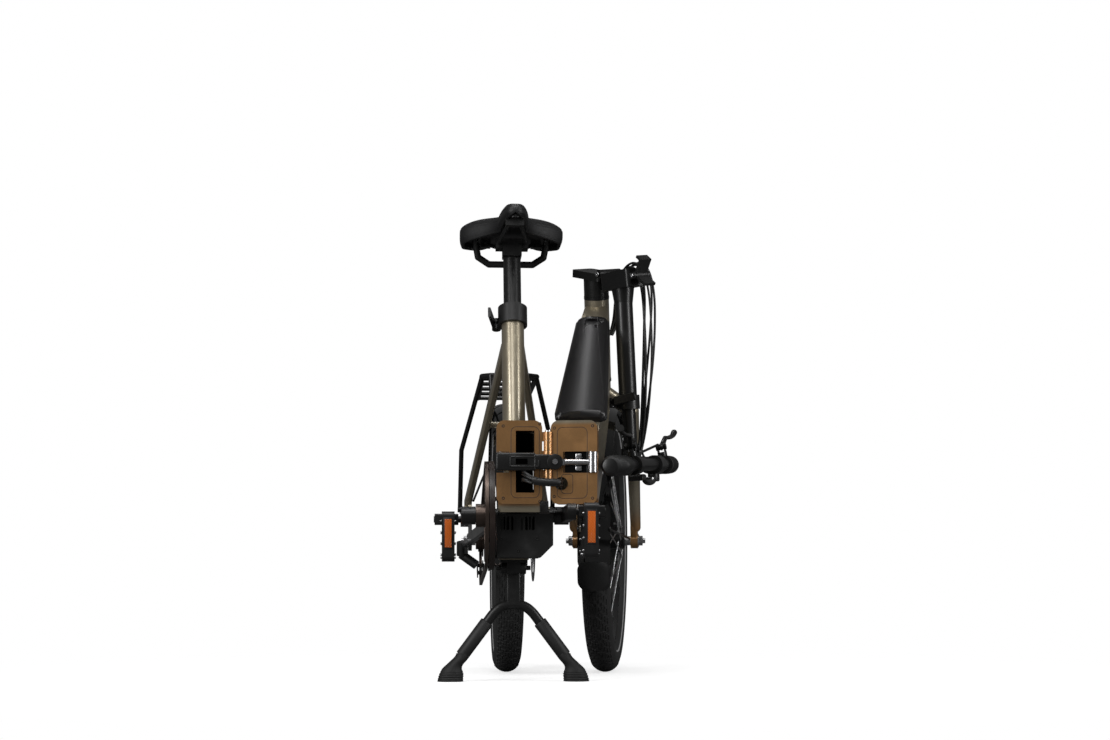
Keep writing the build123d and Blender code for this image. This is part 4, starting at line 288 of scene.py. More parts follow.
def black_finish(name, shade, roughness, grain, depth, metallic=0.0, tint=(1.0, 1.0, 1.0)):
    """Black anodising, powder coat, plastic or rubber with a fine skin, rubbed paler in places."""
    base = scaled(tint, shade)
    black = Finish(name, base, roughness, metallic)
    rub = black.step(black.noise(42.0, 5.0), 0.5, 0.85)
    black.set("Base Color", black.mix(rub, base, scaled(base, 1.5, 0.003)))
    black.set("Roughness", rub * 0.16 + (roughness - 0.04))
    black.bump(black.noise(grain, 3.0), 0.12, depth)
    return black


satin_black = black_finish("satin_black", 0.007, 0.36, 300.0, 0.0003)
cast_black = black_finish("cast_black", 0.008, 0.46, 900.0, 0.0005)
moulded = black_finish("moulded_plastic", 0.008, 0.44, 1100.0, 0.0004)
guard = black_finish("guard_plastic", 0.012, 0.4, 500.0, 0.0003, 0.0, (1.5, 0.9, 0.7))
rubber = black_finish("rubber", 0.01, 0.7, 1400.0, 0.0005)
rim_black = black_finish("rim_anodising", 0.014, 0.3, 500.0, 0.0002, 0.4)
dress(satin_black, "handlepost", "stem_base", "inner_post", "handlebar", "seatpost", "rear_rack")
dress(satin_black, "left_crank_arm", "right_crank_arm", "brake_perches", "seat_clamp_lever")
dress(satin_black, "height_clamp_lever", "headset", "saddle_rails", "front_hub", "rear_hub")
dress(cast_black, "seat_clamp", "handlepost_latch", "rear_derailleur", "front_brake_caliper")
dress(cast_black, "rear_brake_caliper", "kickstand_bracket")
dress(moulded, "battery_latch", "saddle_base", "motor_cover", "motor_housing")
dress(moulded, "left_pedal_platform", "right_pedal_platform", "left_pedal_block", "right_pedal_block")
dress(guard, "chain_guard")
dress(rim_black, "front_rim", "rear_rim")


def bare_metal(name, colour, roughness, grain=(1.0, 1.0, 40.0)):
    """Turned or ground metal with fine lines and a little staining."""
    metal = Finish(name, colour, roughness, 1.0)
    lines = metal.noise(160.0, 2.0, grain)
    stain = metal.step(metal.noise(30.0, 4.0), 0.5, 0.8)
    metal.set("Base Color", metal.mix(stain, colour, scaled(colour, 0.72)))
    metal.set("Roughness", lines * 0.14 + (roughness - 0.06))
    metal.bump(lines, 0.08, 0.0002)
    return metal


bright = bare_metal("bright_steel", (0.62, 0.62, 0.63), 0.26)
disc_steel = bare_metal("disc_steel", (0.5, 0.5, 0.52), 0.3, (30.0, 30.0, 1.0))
drive_steel = bare_metal("drive_steel", (0.13, 0.1, 0.085), 0.36)
dress(bright, "hinge_pin", "latch_bolt", "front_axle", "rear_axle", "front_spokes", "rear_spokes")
dress(disc_steel, "front_brake_disc", "rear_brake_disc")
dress(drive_steel, "chain", "chainring", "cassette")

# ---------------- wheels
# 406 mm rims laced with steel spokes, tightened by nickelled brass nipples. The tyres are black
# rubber moulded with a fine block tread, and a thin reflecting stripe runs round each wall. Six
# steel screws hold the rear brake disc.

TYRE_OUTER = 0.258
TYRE_WALL = 0.0268
TREAD_STEPS = 216
TREAD_LANES = 32
TREAD_DEPTH = 0.0013
STRIPE = (0.2168, 0.2204)
SPOKES = 28
NIPPLE_RING = 0.1955
DISC_SCREWS = 6
DISC_SCREW_RING = 0.022
DISC_FACE = 0.0537

hinges = {joint["name"]: joint for joint in frame["joints"]}
REAR_WHEEL = Vector(hinges["rear_wheel_spin"]["pos_m"])
REAR_ACROSS = Vector((1.0, 0.0, 0.0))
FRONT_WHEEL = Vector(hinges["front_wheel_spin"]["pos_m"])
FRONT_ACROSS = -Vector(hinges["front_wheel_spin"]["axis"])


def clear():
    bpy.ops.object.select_all(action="DESELECT")


def mode(name):
    bpy.ops.object.mode_set(mode=name)


def put(place, axis):
    """Local Z goes along the axis, the local origin to the place."""
    return Matrix.Translation(Vector(place)) @ Vector(axis).to_track_quat("Z", "Y").to_matrix().to_4x4()


def eased(piece, width, segments=2, angle=40.0):
    """A small rounding on every sharp edge."""
    edge = piece.modifiers.new("eased", "BEVEL")
    edge.width = width
    edge.segments = segments
    edge.limit_method = "ANGLE"
    edge.angle_limit = radians(angle)
    bpy.context.view_layer.objects.active = piece
    bpy.ops.object.modifier_apply(modifier=edge.name)


def coated(piece, name, finish):
    piece.name = name
    piece.data.materials.clear()
    piece.data.materials.append(finish.material)


def finished(piece, name, finish, body, matrix=None, angle=35.0):
    """Names a piece, sets it in place and gives it its finish and its body."""
    clear()
    if matrix is not None:
        piece.data.transform(matrix)
    coated(piece, name, finish)
    piece.select_set(True)
    bpy.context.view_layer.objects.active = piece
    bpy.ops.object.transform_apply(location=True, rotation=True, scale=True)
    bpy.ops.object.shade_smooth_by_angle(angle=radians(angle))
    piece.select_set(False)
    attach(piece, body)
    return piece


def picked(piece, test):
    """Enters edit mode with the faces that pass the test selected."""
    clear()
    piece.select_set(True)
    bpy.context.view_layer.objects.active = piece
    mode("EDIT")
    bpy.ops.mesh.select_all(action="DESELECT")
    bpy.ops.mesh.select_mode(type="FACE")
    mode("OBJECT")
    for face in piece.data.polygons:
        face.select = bool(test(face))
    mode("EDIT")


def joined(pieces):
    """Several pieces of one part become one mesh."""
    clear()
    for piece in pieces:
        piece.select_set(True)
    bpy.context.view_layer.objects.active = pieces[0]
    bpy.ops.object.join()
    pieces[0].select_set(False)
    return pieces[0]


def tyre(name, node, centre, axis, body):
    """A torus whose crown is cut into staggered blocks."""
    clear()
    crown = TYRE_OUTER - TREAD_DEPTH - TYRE_WALL
    bpy.ops.mesh.primitive_torus_add(
        major_radius=crown, minor_radius=TYRE_WALL, major_segments=TREAD_STEPS, minor_segments=TREAD_LANES
    )
    piece = bpy.context.active_object

    def is_block(face):
        across = atan2(face.center[2], Vector(face.center[:2]).length - crown)
        if abs(across) > 1.02:
            return False
        step = int((atan2(face.center[1], face.center[0]) % tau) / tau * TREAD_STEPS)
        lane = int((across + 4.0) / (tau / TREAD_LANES))
        return (step + lane * 2) % 3 != 0 if abs(across) > 0.3 else step % 4 != lane % 2

    picked(piece, is_block)
    bpy.ops.mesh.inset(thickness=0.0007, depth=TREAD_DEPTH, use_individual=True)
    mode("OBJECT")
    tread = black_finish(name + "_rubber", 0.021, 0.74, 1500.0, 0.0005)
    away = tread.node("ShaderNodeVectorMath", {"operation": "DISTANCE"}, {0: tread.place, 1: centre}, "Value")
    stripe = tread.within(away, *STRIPE, 0.0006)
    tread.set("Base Color", tread.mix(stripe, (0.021, 0.021, 0.021), (0.42, 0.42, 0.42)))
    finished(piece, name, tread, body, put(centre, axis), 30.0)
    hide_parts(node)


tyre("rear_block_tyre", "rear_tyre", REAR_WHEEL, REAR_ACROSS, "rear_wheel")
tyre("front_block_tyre", "front_tyre", FRONT_WHEEL, FRONT_ACROSS, "front_wheel")


def nipples(name, body, centre, axis):
    """One nipple where each spoke meets the rim, leaning to its side of the hub."""
    clear()
    bpy.ops.mesh.primitive_cylinder_add(vertices=10, radius=0.0021, depth=0.011)
    pattern = bpy.context.active_object
    eased(pattern, 0.0006)
    turn = put(centre, axis)
    pieces = []
    for index in range(SPOKES):
        lean = 0.035 if index % 2 else -0.035
        made = bpy.data.objects.new("nipple", pattern.data.copy())
        bpy.context.scene.collection.objects.link(made)
        spot = Matrix.Rotation(tau * (index + 0.5) / SPOKES, 4, "Z")
        spot = spot @ Matrix.Translation((NIPPLE_RING, 0.0, lean * 0.1))
        made.data.transform(turn @ spot @ Matrix.Rotation(pi / 2 + lean, 4, "Y"))
        pieces.append(made)
    bpy.data.objects.remove(pattern)
    finished(joined(pieces), name, bright, body)


nipples("rear_nipples", "rear_wheel", REAR_WHEEL, REAR_ACROSS)
nipples("front_nipples", "front_wheel", FRONT_WHEEL, FRONT_ACROSS)


def screw(place, axis, radius, height, sides=24):
    """A socket screw's head, its foot on the place, its recess pressed in."""
    clear()
    middle = (0.0, 0.0, height / 2)
    bpy.ops.mesh.primitive_cylinder_add(vertices=sides, radius=radius, depth=height, location=middle)
    made = bpy.context.active_object
    bpy.ops.object.transform_apply(location=True)
    picked(made, lambda face: face.normal.z > 0.9)
    bpy.ops.mesh.inset(thickness=radius * 0.5, depth=0.0)
    bpy.ops.mesh.inset(thickness=0.0001, depth=-height * 0.6)
    mode("OBJECT")
    eased(made, radius * 0.09, 2, 50.0)
    made.data.transform(put(place, axis))
    made.select_set(False)
    return made


turn = put(REAR_WHEEL, REAR_ACROSS)
heads = []
for index in range(DISC_SCREWS):
    spot = Matrix.Rotation(tau * index / DISC_SCREWS, 4, "Z") @ Vector((DISC_SCREW_RING, 0.0, DISC_FACE))
    heads.append(screw(turn @ spot, REAR_ACROSS, 0.0042, 0.0022))
finished(joined(heads), "rear_disc_bolts", bright, "rear_wheel")

# ---------------- mudguards
# Injection-moulded gloss black blades with a rounded section and rolled edges. Wire stays hold
# them to the frame, and a soft rubber flap hangs from the front one.

GUARD_HALF = 0.03
GUARD_DROP = 0.009
FLAP_HALF = 0.0305
FLAP_DROP = 0.007
BLADE_CORNER = 0.016
BLADE_LIP = 0.0012
STAY_OUT = 0.029
CROWN_LEVEL = 0.5262

gloss = black_finish("gloss_mudguard", 0.004, 0.1, 60.0, 0.00005)
gloss.set("Coat Weight", 0.8)


def dowel(place, axis, radius, length, bevel=0.0006, sides=32):
    """A turned length with eased ends, centred on the place."""
    clear()
    bpy.ops.mesh.primitive_cylinder_add(vertices=sides, radius=radius, depth=length)
    made = bpy.context.active_object
    eased(made, bevel, 2, 50.0)
    made.data.transform(put(place, axis))
    made.select_set(False)
    return made


def rod_between(first, second, radius):
    """A thin dowel from one point to another."""
    first, second = Vector(first), Vector(second)
    return dowel((first + second) / 2, second - first, radius, (second - first).length, radius * 0.2, 16)


def ring_place(centre, across, back, radius, angle, out=0.0):
    """A point at an angle round a wheel, from the direction behind it up over the top."""
    return centre + across * out + back * (radius * cos(angle)) + Vector((0, 0, radius * sin(angle)))


def facing_out(piece):
    """Turns every face of a closed piece outwards."""
    picked(piece, lambda face: True)
    bpy.ops.mesh.normals_make_consistent(inside=False)
    mode("OBJECT")
    piece.select_set(False)


def blade(ring, radius, ends, half, drop, thick=0.0022):
    """A band round a wheel whose section falls away at both edges and whose corners are rounded."""
    clear()
    bpy.ops.mesh.primitive_grid_add(x_subdivisions=22, y_subdivisions=120, size=2.0)
    made = bpy.context.active_object
    start, end = radians(ends[0]), radians(ends[1])
    length = radius * abs(end - start)
    for vertex in made.data.vertices:
        side, way = vertex.co.x, vertex.co.y
        near = (1.0 - abs(way)) / 2 * length
        width = half * (1.0 - 0.3 * max(0.0, 1.0 - near / BLADE_CORNER) ** 2)
        angle = start + (end - start) * (way + 1.0) / 2
        lip = BLADE_LIP * max(0.0, abs(side) - 0.9) / 0.1
        vertex.co = ring_place(*ring, radius - drop * abs(side) ** 2.4 + lip, angle, side * width)
    wall = made.modifiers.new("wall", "SOLIDIFY")
    wall.thickness = thick
    wall.offset = 0.0
    bpy.ops.object.modifier_apply(modifier=wall.name)
    facing_out(made)
    return made


rear_ring = (REAR_WHEEL, Vector((1, 0, 0)), Vector((0, 1, 0)))
front_ring = (FRONT_WHEEL, -FRONT_ACROSS, Vector((-0.1736, -0.9848, 0.0)))
rear_blade = blade(rear_ring, 0.2674, (10.5, 194.5), GUARD_HALF, GUARD_DROP)
finished(rear_blade, "rear_guard_blade", gloss, "rear_half", None, 50.0)
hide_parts("rear_mudguard")
front_blade = blade(front_ring, 0.2664, (-13.5, 124.5), GUARD_HALF, GUARD_DROP)
finished(front_blade, "front_guard_blade", gloss, "steering", None, 50.0)
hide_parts("front_mudguard")
flap = blade(front_ring, 0.2674, (-21.5, -10.0), FLAP_HALF, FLAP_DROP, 0.003)
finished(flap, "front_flap", rubber, "steering", None, 50.0)

stays = []
for hand in (1, -1):
    edge = ring_place(*rear_ring, 0.2585, radians(40), hand * STAY_OUT)
    foot = REAR_WHEEL + Vector((hand * 0.0645, -0.004, 0.078))
    stays.append(rod_between(edge, foot, 0.0022))
    stays.append(dowel(edge, Vector((hand, 0, 0)), 0.0052, 0.004, 0.0008))
boss = [ring_place(*rear_ring, radius, radians(130.7)) for radius in (0.2675, 0.2715)]
stays.append(rod_between(*boss, 0.007))
finished(joined(stays), "rear_guard_stays", satin_black, "rear_half")
stays = []
for hand in (1, -1):
    edge = ring_place(*front_ring, 0.2575, radians(3), hand * STAY_OUT)
    foot = ring_place(*front_ring, 0.0, 0.0, hand * 0.0475) + front_ring[2] * 0.014 + Vector((0, 0, 0.004))
    stays.append(rod_between(edge, foot, 0.002))
    stays.append(dowel(edge, front_ring[1], 0.005, 0.004, 0.0008))
steer = hinges["steer"]
turning = Vector(steer["axis"])
under_crown = Vector(steer["pos_m"]) + turning * ((CROWN_LEVEL - steer["pos_m"][2]) / turning.z)
stays.append(rod_between(under_crown, under_crown - turning * 0.036, 0.006))
finished(joined(stays), "front_guard_stays", satin_black, "steering")

# ---------------- saddle
# Soft foam under a grained black cover, pulled down round a plastic shell and stapled beneath it.
# A shallow channel runs down the middle, and a welted seam follows each flank.

SADDLE_X = -0.1006
saddle_low, saddle_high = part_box("saddle_cushion")
NOSE_Y, TAIL_Y = saddle_low[1], saddle_high[1]
SEAT_LOW = saddle_low[2] - 0.0002
SEAT_CROWN = saddle_high[2] - 0.006
SHELL_WALL = 0.006
TUCK = 0.003
STITCH_LEVEL = SEAT_CROWN - 0.016
# Pairs of the share of the way from nose to tail, and a size there
HALF_WIDTHS = ((0.0, 0.0215), (0.4, 0.0275), (0.7, 0.0935), (0.88, 0.0935), (1.0, 0.076))
WINGS = ((0.42, 0.0), (0.7, 1.0))
CROWN_LIFTS = ((0.0, -0.004), (0.45, -0.003), (0.72, 0.004), (1.0, 0.003))
HEM_DROPS = ((0.0, -0.008), (0.45, -0.012), (0.72, -0.021), (1.0, -0.018))
CHANNEL = ((0.1, 0.0), (0.3, 1.0), (0.85, 1.0), (0.97, 0.0))
TAIL_DIP = ((0.75, 0.0), (1.0, -1.0))
# Where the flank, the rolled hem and the inner wall end, as shares of the way down and under
FLANK_END, HEM_END, INNER_END = 0.34, 0.5, 0.66

skin = Finish("saddle_skin", (0.007, 0.007, 0.0075), 0.5)
skin.set("Roughness", skin.noise(50.0, 4.0) * 0.14 + 0.42)
pebble = skin.node("ShaderNodeTexVoronoi", {"feature": "SMOOTH_F1"}, {"Vector": skin.place, "Scale": 900.0})
skin.bump(pebble, 0.35, 0.0006)


def eased_between(value, stops):
    """A smooth curve through pairs of place and size."""
    for (before, low), (after, high) in zip(stops, stops[1:]):
        if value <= after:
            part = max(0.0, (value - before) / (after - before))
            part = part * part * (3 - 2 * part)
            return low + (high - low) * part
    return stops[-1][1]


clear()
bpy.ops.mesh.primitive_uv_sphere_add(segments=128, ring_count=112)
cushion = bpy.context.active_object
for vertex in cushion.data.vertices:
    spot = vertex.co.copy()
    turn = atan2(spot.y, spot.x)
    share = (1.0 + spot.z) / 2
    away = abs(2 * share - 1)
    blunt, power = (7, 0.385) if share < 0.5 else (16, 0.33)
    end = max(0.0, 1.0 - away**blunt) ** power
    half = end * eased_between(share, HALF_WIDTHS)
    crown = SEAT_CROWN + eased_between(share, CROWN_LIFTS)
    hem = SEAT_LOW + eased_between(share, HEM_DROPS)
    waist = hem + (crown - hem) * 0.45
    hand = 1 if cos(turn) > 0 else -1
    down = abs(atan2(-sin(turn), abs(cos(turn)))) / (pi / 2)
    wall = min(SHELL_WALL, half * 0.4)
    if sin(turn) >= 0:
        x = half * abs(cos(turn)) ** 0.5
        ratio = x / max(half, 0.0001)
        shoulder = 0.004 + 0.006 * eased_between(share, WINGS)
        z = waist + (crown - shoulder * ratio**4 - waist) * sin(turn) ** 0.6
        z -= 0.003 * max(0.0, 1.0 - (x / 0.012) ** 2) * eased_between(share, CHANNEL)
    elif down < FLANK_END:
        x = half - TUCK * (down / FLANK_END) ** 3
        z = waist + (hem + wall / 2 - waist) * down / FLANK_END
    elif down < HEM_END:
        swing = pi * (down - FLANK_END) / (HEM_END - FLANK_END)
        x = half - TUCK - wall / 2 * (1 - cos(swing))
        z = hem + wall / 2 * (1 - sin(swing))
    elif down < INNER_END:
        x = half - TUCK - wall
        z = hem + wall / 2 + (SEAT_LOW - hem - wall / 2) * (down - HEM_END) / (INNER_END - HEM_END)
    else:
        x = (half - TUCK - wall) * (1.0 - down) / (1.0 - INNER_END)
        z = SEAT_LOW
    stitch = abs(z - STITCH_LEVEL) / 0.0013
    if stitch < 1.0 and sin(turn) >= 0:
        x -= 0.0007 * (1 - stitch * stitch)
    z = waist + (z - waist) * min(1.0, end * 1.15) ** 0.9
    y = NOSE_Y + (TAIL_Y - NOSE_Y) * share
    y += 0.012 * max(0.0, 1.0 - (x / 0.05) ** 2) * eased_between(share, TAIL_DIP)
    vertex.co = (SADDLE_X + hand * x, y, z)
finished(cushion, "saddle_pad", skin, "seat", None, 80.0)
facing_out(cushion)
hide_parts("saddle_cushion")

# ---------------- hinge plates
# Cast plates face each other when the bicycle is ridden. The rear one has a sealed pocket for the
# cables; both have a groove for a rubber seal and are held by countersunk screws.

FOLD_PIN = Vector(hinges["main_fold"]["pos_m"])
FACE = FOLD_PIN.y
CURVE_PULL = 0.55
SCREW_PROUD = 0.00105
REAR_SCREWS = ((-0.1245, 0.3135), (-0.1245, 0.4335), (-0.0635, 0.3085), (-0.0635, 0.4375))
FRONT_SCREWS = ((0.0245, 0.3135), (0.0245, 0.4335), (-0.0395, 0.3165), (-0.0395, 0.4305))

front_tilt = Matrix.Rotation(radians(-10.0), 4, "Z")
front_tilt = Matrix.Translation(FOLD_PIN) @ front_tilt @ Matrix.Translation(-FOLD_PIN)
seal_rubber = black_finish("seal_rubber", 0.006, 0.6, 900.0, 0.0003)
# A near-black matte finish with no sheen: painted shade, used on slabs put where openings and recesses hold
# only shade.
gap_shade = Finish("slot_shadow", (0.001, 0.001, 0.001), 0.9, 0.0, Specular_IOR_Level=0.0)


def tube_line(name, radius, resolution):
    """An empty curve that is a round tube along its length."""
    line = bpy.data.curves.new(name, "CURVE")
    line.dimensions = "3D"
    line.bevel_depth = radius
    line.bevel_resolution = 3
    line.resolution_u = resolution
    return line


def as_mesh(line):
    """The tube becomes a selected mesh."""
    made = bpy.data.objects.new(line.name, line)
    bpy.context.scene.collection.objects.link(made)
    clear()
    made.select_set(True)
    bpy.context.view_layer.objects.active = made
    bpy.ops.object.convert(target="MESH")
    return bpy.context.active_object


def seal(name, low, high, proud, radius, body, corner=0.009):
    """A rubber ring pressed in a rounded rectangular groove."""
    line = tube_line(name, radius, 6)
    spline = line.splines.new("BEZIER")
    spline.bezier_points.add(7)
    for turn, (side, rise) in enumerate(((1, 1), (-1, 1), (-1, -1), (1, -1))):
        tip = Vector((high[0] if side > 0 else low[0], FACE + proud, high[1] if rise > 0 else low[1]))
        legs = [Vector((0, 0, rise * corner)), Vector((side * corner, 0, 0))]
        if side != rise:
            legs.reverse()
        for step, leg in enumerate(legs):
            point = spline.bezier_points[2 * turn + step]
            point.co = tip - leg
            handles = [tip - leg * (1 + CURVE_PULL), tip - leg * (1 - CURVE_PULL)]
            if step:
                handles.reverse()
            point.handle_left, point.handle_right = handles
    spline.use_cyclic_u = True
    return finished(as_mesh(line), name, seal_rubber, body)


def slab(corner, opposite, bevel=0.001, segments=2):
    """A block between two corners with eased edges."""
    clear()
    low, high = Vector(corner), Vector(opposite)
    bpy.ops.mesh.primitive_cube_add(size=1.0)
    made = bpy.context.active_object
    size = [abs(side) for side in high - low]
    made.data.transform(Matrix.Translation((low + high) / 2) @ Matrix.Diagonal((*size, 1.0)))
    if bevel:
        eased(made, bevel, segments, 40.0)
    made.select_set(False)
    return made


def plate_screws(spots):
    """Small screws whose heads stand just proud of a plate."""
    return joined([screw((x, FACE + SCREW_PROUD, z), (0, -1, 0), 0.0026, 0.0012) for x, z in spots])


seal("rear_plate_seal", (-0.1115, 0.3145), (-0.0645, 0.4325), 0.00095, 0.0011, "rear_half")
outer = seal("front_plate_seal", (-0.0345, 0.3135), (0.0155, 0.4315), 0.00095, 0.0011, "front_half")
outer.data.transform(front_tilt)
inner_box = ((-0.0275, 0.3215), (-0.0085, 0.3535))
inner = seal("front_plate_inner_seal", *inner_box, 0.00075, 0.0009, "front_half", 0.005)
inner.data.transform(front_tilt)
finished(plate_screws(REAR_SCREWS), "rear_plate_screws", cast_black, "rear_half")
heads = plate_screws(FRONT_SCREWS)
finished(heads, "front_plate_screws", cast_black, "front_half", front_tilt)
# A thin near-black sheet inside the cable pocket: painted shade where the pocket's inside lies in shadow.
shade_sheet = slab((-0.1035, -0.306, 0.3215), (-0.0725, -0.3045, 0.4255), 0.0)
finished(shade_sheet, "pocket_shade_sheet", gap_shade, "rear_half")

# ---------------- cables at the frame hinge
# Four sheathed cables leave the pocket, are wrapped into one bundle and enter the front plate.

STRANDS = ((0.004, 0.0, 0.0027), (-0.003, 0.003, 0.0026), (0.001, -0.0035, 0.0024), (-0.0045, -0.002, 0.0022))
WRAP_ROUTE = (
    (-0.078, -0.3735, 0.3415), (-0.06, -0.3745, 0.3388), (-0.04, -0.374, 0.3386), (-0.033, -0.3708, 0.3386)
)
WRAP_RADIUS = 0.0063

sheath = black_finish("cable_sheath", 0.009, 0.5, 1200.0, 0.0002)


def hose(name, points, radius):
    """A held cable on one smooth spline, made a mesh once it is laid."""
    line = tube_line(name, radius, 10)
    line.use_fill_caps = True
    spline = line.splines.new("NURBS")
    spline.points.add(len(points) - 1)
    for point, where in zip(spline.points, points):
        point.co = (*where, 1.0)
    spline.order_u = 3
    spline.use_endpoint_u = True
    made = as_mesh(line)
    made.select_set(False)
    return made


bundle = []
for lift, sway, radius in STRANDS:
    points = (
        (-0.092, -0.314, 0.352 + lift * 2.2),
        (-0.0925, -0.35, 0.352 + lift * 2.0),
        (-0.09, -0.368, 0.349 + lift * 1.6),
        (-0.075, -0.374 + sway, 0.341 + lift),
        (-0.055, -0.3745 + sway, 0.3385 + lift),
        (-0.038, -0.3735 + sway, 0.3385 + lift),
        (-0.028, -0.366 + sway, 0.3385 + lift),
        (-0.026, -0.346, 0.3385 + lift),
    )
    bundle.append(hose("strand", points, radius))
bundle.append(hose("wrap", WRAP_ROUTE, WRAP_RADIUS))
bundle_piece = joined(bundle)
coated(bundle_piece, "hinge_cable_bundle", sheath)
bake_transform(bundle_piece)
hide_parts("hinge_cables")

# ---------------- battery cover
# A moulded graphite lid with a fine brushed grain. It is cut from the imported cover, and its face
# is raised into a crown that flattens out towards both sides.

LID_CROWN = 0.006
LID_STRIP = 0.0035
LID_SKIN = 0.0009

graphite = Finish("graphite_cover", (0.013, 0.0125, 0.013), 0.3, 0.3)
brushed = graphite.noise(60.0, 3.0, (0.4, 12.0, 12.0))
graphite.set("Roughness", brushed * 0.1 + 0.25)
graphite.bump(brushed, 0.05, 0.0002)

lid_from = frame["nodes"]["battery_cover"]
lid = bpy.data.objects.new("battery_lid", lid_from.data.copy())
bpy.context.scene.collection.objects.link(lid)
lid_face = max((face for face in lid.data.polygons if face.normal.z > 0.3), key=lambda face: face.area)
lid_out = lid_face.normal.copy()
picked(lid, lambda face: True)
bpy.ops.mesh.remove_doubles(threshold=0.00001)
lid_level = max(vertex.co.dot(lid_out) for vertex in lid_from.data.vertices)
lid_sides = [vertex.co.dot(FRONT_ACROSS) for vertex in lid_from.data.vertices]
lid_middle = (min(lid_sides) + max(lid_sides)) / 2
for step in range(-12, 13):
    cut = FRONT_ACROSS * (lid_middle + LID_STRIP * step)
    bpy.ops.mesh.select_all(action="SELECT")
    bpy.ops.mesh.bisect(plane_co=cut, plane_no=FRONT_ACROSS)
mode("OBJECT")
lid_along = lid_out.cross(FRONT_ACROSS)
lid_ends = [vertex.co.dot(lid_along) for vertex in lid.data.vertices]
lid_foot, lid_head = min(lid_ends), max(lid_ends)
if lid_along.z <= 0:
    lid_foot, lid_head = lid_head, lid_foot
for vertex in lid.data.vertices:
    if vertex.co.dot(lid_out) > lid_level - LID_SKIN:
        share = (vertex.co.dot(lid_along) - lid_foot) / (lid_head - lid_foot)
        out = abs(vertex.co.dot(FRONT_ACROSS) - lid_middle) / (0.045 - 0.015 * share)
        vertex.co += lid_out * LID_CROWN * max(0.0, 1.0 - out * out)
finished(lid, "battery_lid", graphite, "front_half", None, 30.0)
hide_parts("battery_cover")

# ---------------- motor cover
# A moulded plastic cover under the motor. Its six cooling openings are drawn as near-black slabs, painted
# shade set into its face, and three socket screws hold it to the housing.

SLOTS = (-0.121, -0.1145, -0.108, -0.0845, -0.078, -0.0715)
SLOT_Z = (0.2625, 0.2855)
COVER_SCREWS = ((-0.126, 0.2475), (-0.066, 0.2475), (-0.0985, 0.2275))

cover_low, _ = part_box("motor_cover")
cover = frame["nodes"]["motor_cover"]


def cover_face(x, z):
    """Where the cover's front stands, seen straight from ahead."""
    found, spot, _, _ = cover.ray_cast((x, -0.6, z), (0.0, 1.0, 0.0))
    return spot.y if found else cover_low[1]


# Each opening is a near-black slab: painted shade where the cover is pierced.
slot_shades = []
for x in SLOTS:
    face = min(cover_face(x, SLOT_Z[0] + 0.001), cover_face(x, SLOT_Z[1] - 0.001))
    slot_shades.append(slab((x - 0.0016, face - 0.0005, SLOT_Z[0]), (x + 0.0016, face + 0.004, SLOT_Z[1]), 0.0012))
finished(joined(slot_shades), "motor_cover_slot_shades", gap_shade, "rear_half")
caps = [screw((x, cover_face(x, z) + 0.0006, z), (0, -1, 0), 0.0028, 0.0018) for x, z in COVER_SCREWS]
finished(joined(caps), "motor_cover_screws", satin_black, "rear_half")

# ---------------- pedals
# Folding platforms moulded in black plastic. Amber reflectors sit in frames at both ends, and
# short steel grip pins stand on both faces.

LENS_HALF = 0.0062
LENS_FRAME = 0.002
PIN_PROUD = 0.0009
PIN_RISES = (0.012, 0.032, 0.052, 0.072)
PIN_ROW = (0.028, 0.042, 0.056)

amber = Finish("amber_reflector", (0.62, 0.13, 0.015), 0.16, 0.0, Coat_Weight=0.8, Coat_Roughness=0.05)
prisms = amber.node("ShaderNodeTexChecker", {}, {"Vector": amber.place, "Scale": 420.0}, output="Fac")
amber.set("Base Color", amber.mix(prisms, (0.7, 0.17, 0.02), (0.5, 0.075, 0.008)))
amber.bump(prisms, 0.5, 0.0006)
for side in ("left", "right"):
    low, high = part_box(side + "_pedal_platform")
    body = side + "_pedal"
    middle = (low[0] + high[0]) / 2
    lenses, frames = [], []
    for face, out in ((low[1], -1), (high[1], 1)):
        for pieces, half, proud, foot, head in (
            (lenses, LENS_HALF, 0.0018, 0.024, 0.014),
            (frames, LENS_HALF + LENS_FRAME, 0.0008, 0.021, 0.011),
        ):
            near = (middle - half, face + out * proud, low[2] + foot)
            pieces.append(slab(near, (middle + half, face - out * 0.002, high[2] - head), 0.0008))
    finished(joined(lenses), side + "_pedal_reflectors", amber, body)
    finished(joined(frames), side + "_reflector_frames", moulded, body)
    pins = []
    for face, out in ((low[0], -1), (high[0], 1)):
        spots = [(y, low[2] + rise) for y in (low[1] + 0.007, high[1] - 0.007) for rise in PIN_RISES]
        spots += [(low[1] + along, low[2] + 0.0065) for along in PIN_ROW]
        for y, z in spots:
            pins.append(dowel((face + out * PIN_PROUD, y, z), (1, 0, 0), 0.0017, 0.0034, 0.0005, 10))
    finished(joined(pins), side + "_pedal_pins", bright, body)

# ---------------- handlebar grips and levers
# Ribbed rubber grips with a palm rest, locked by a ring and screw. The brake levers are forged
# alloy blades, curved to the fingers, on clamped perches.

NEAR_END = Vector((0.0536, -0.3582, 0.3675))
FAR_END = Vector((0.2255, 0.1922, 0.4091))
BAR_MIDDLE = (NEAR_END + FAR_END) / 2
POST_WAY = Vector(hinges["handlepost_height"]["axis"])
GRIP_LENGTH = 0.1185
GRIP_RADIUS = 0.0165
GRIP_SWELL = 0.0011
RIB_HEIGHT = 0.0005
PALM_REACH = 0.017
GRIP_CUTS = 60
GRIP_RIBS = 22
PALM = ((0.3, 0.0), (0.72, 1.0), (0.93, 0.9), (1.0, 0.35))
RING_IN = 0.119

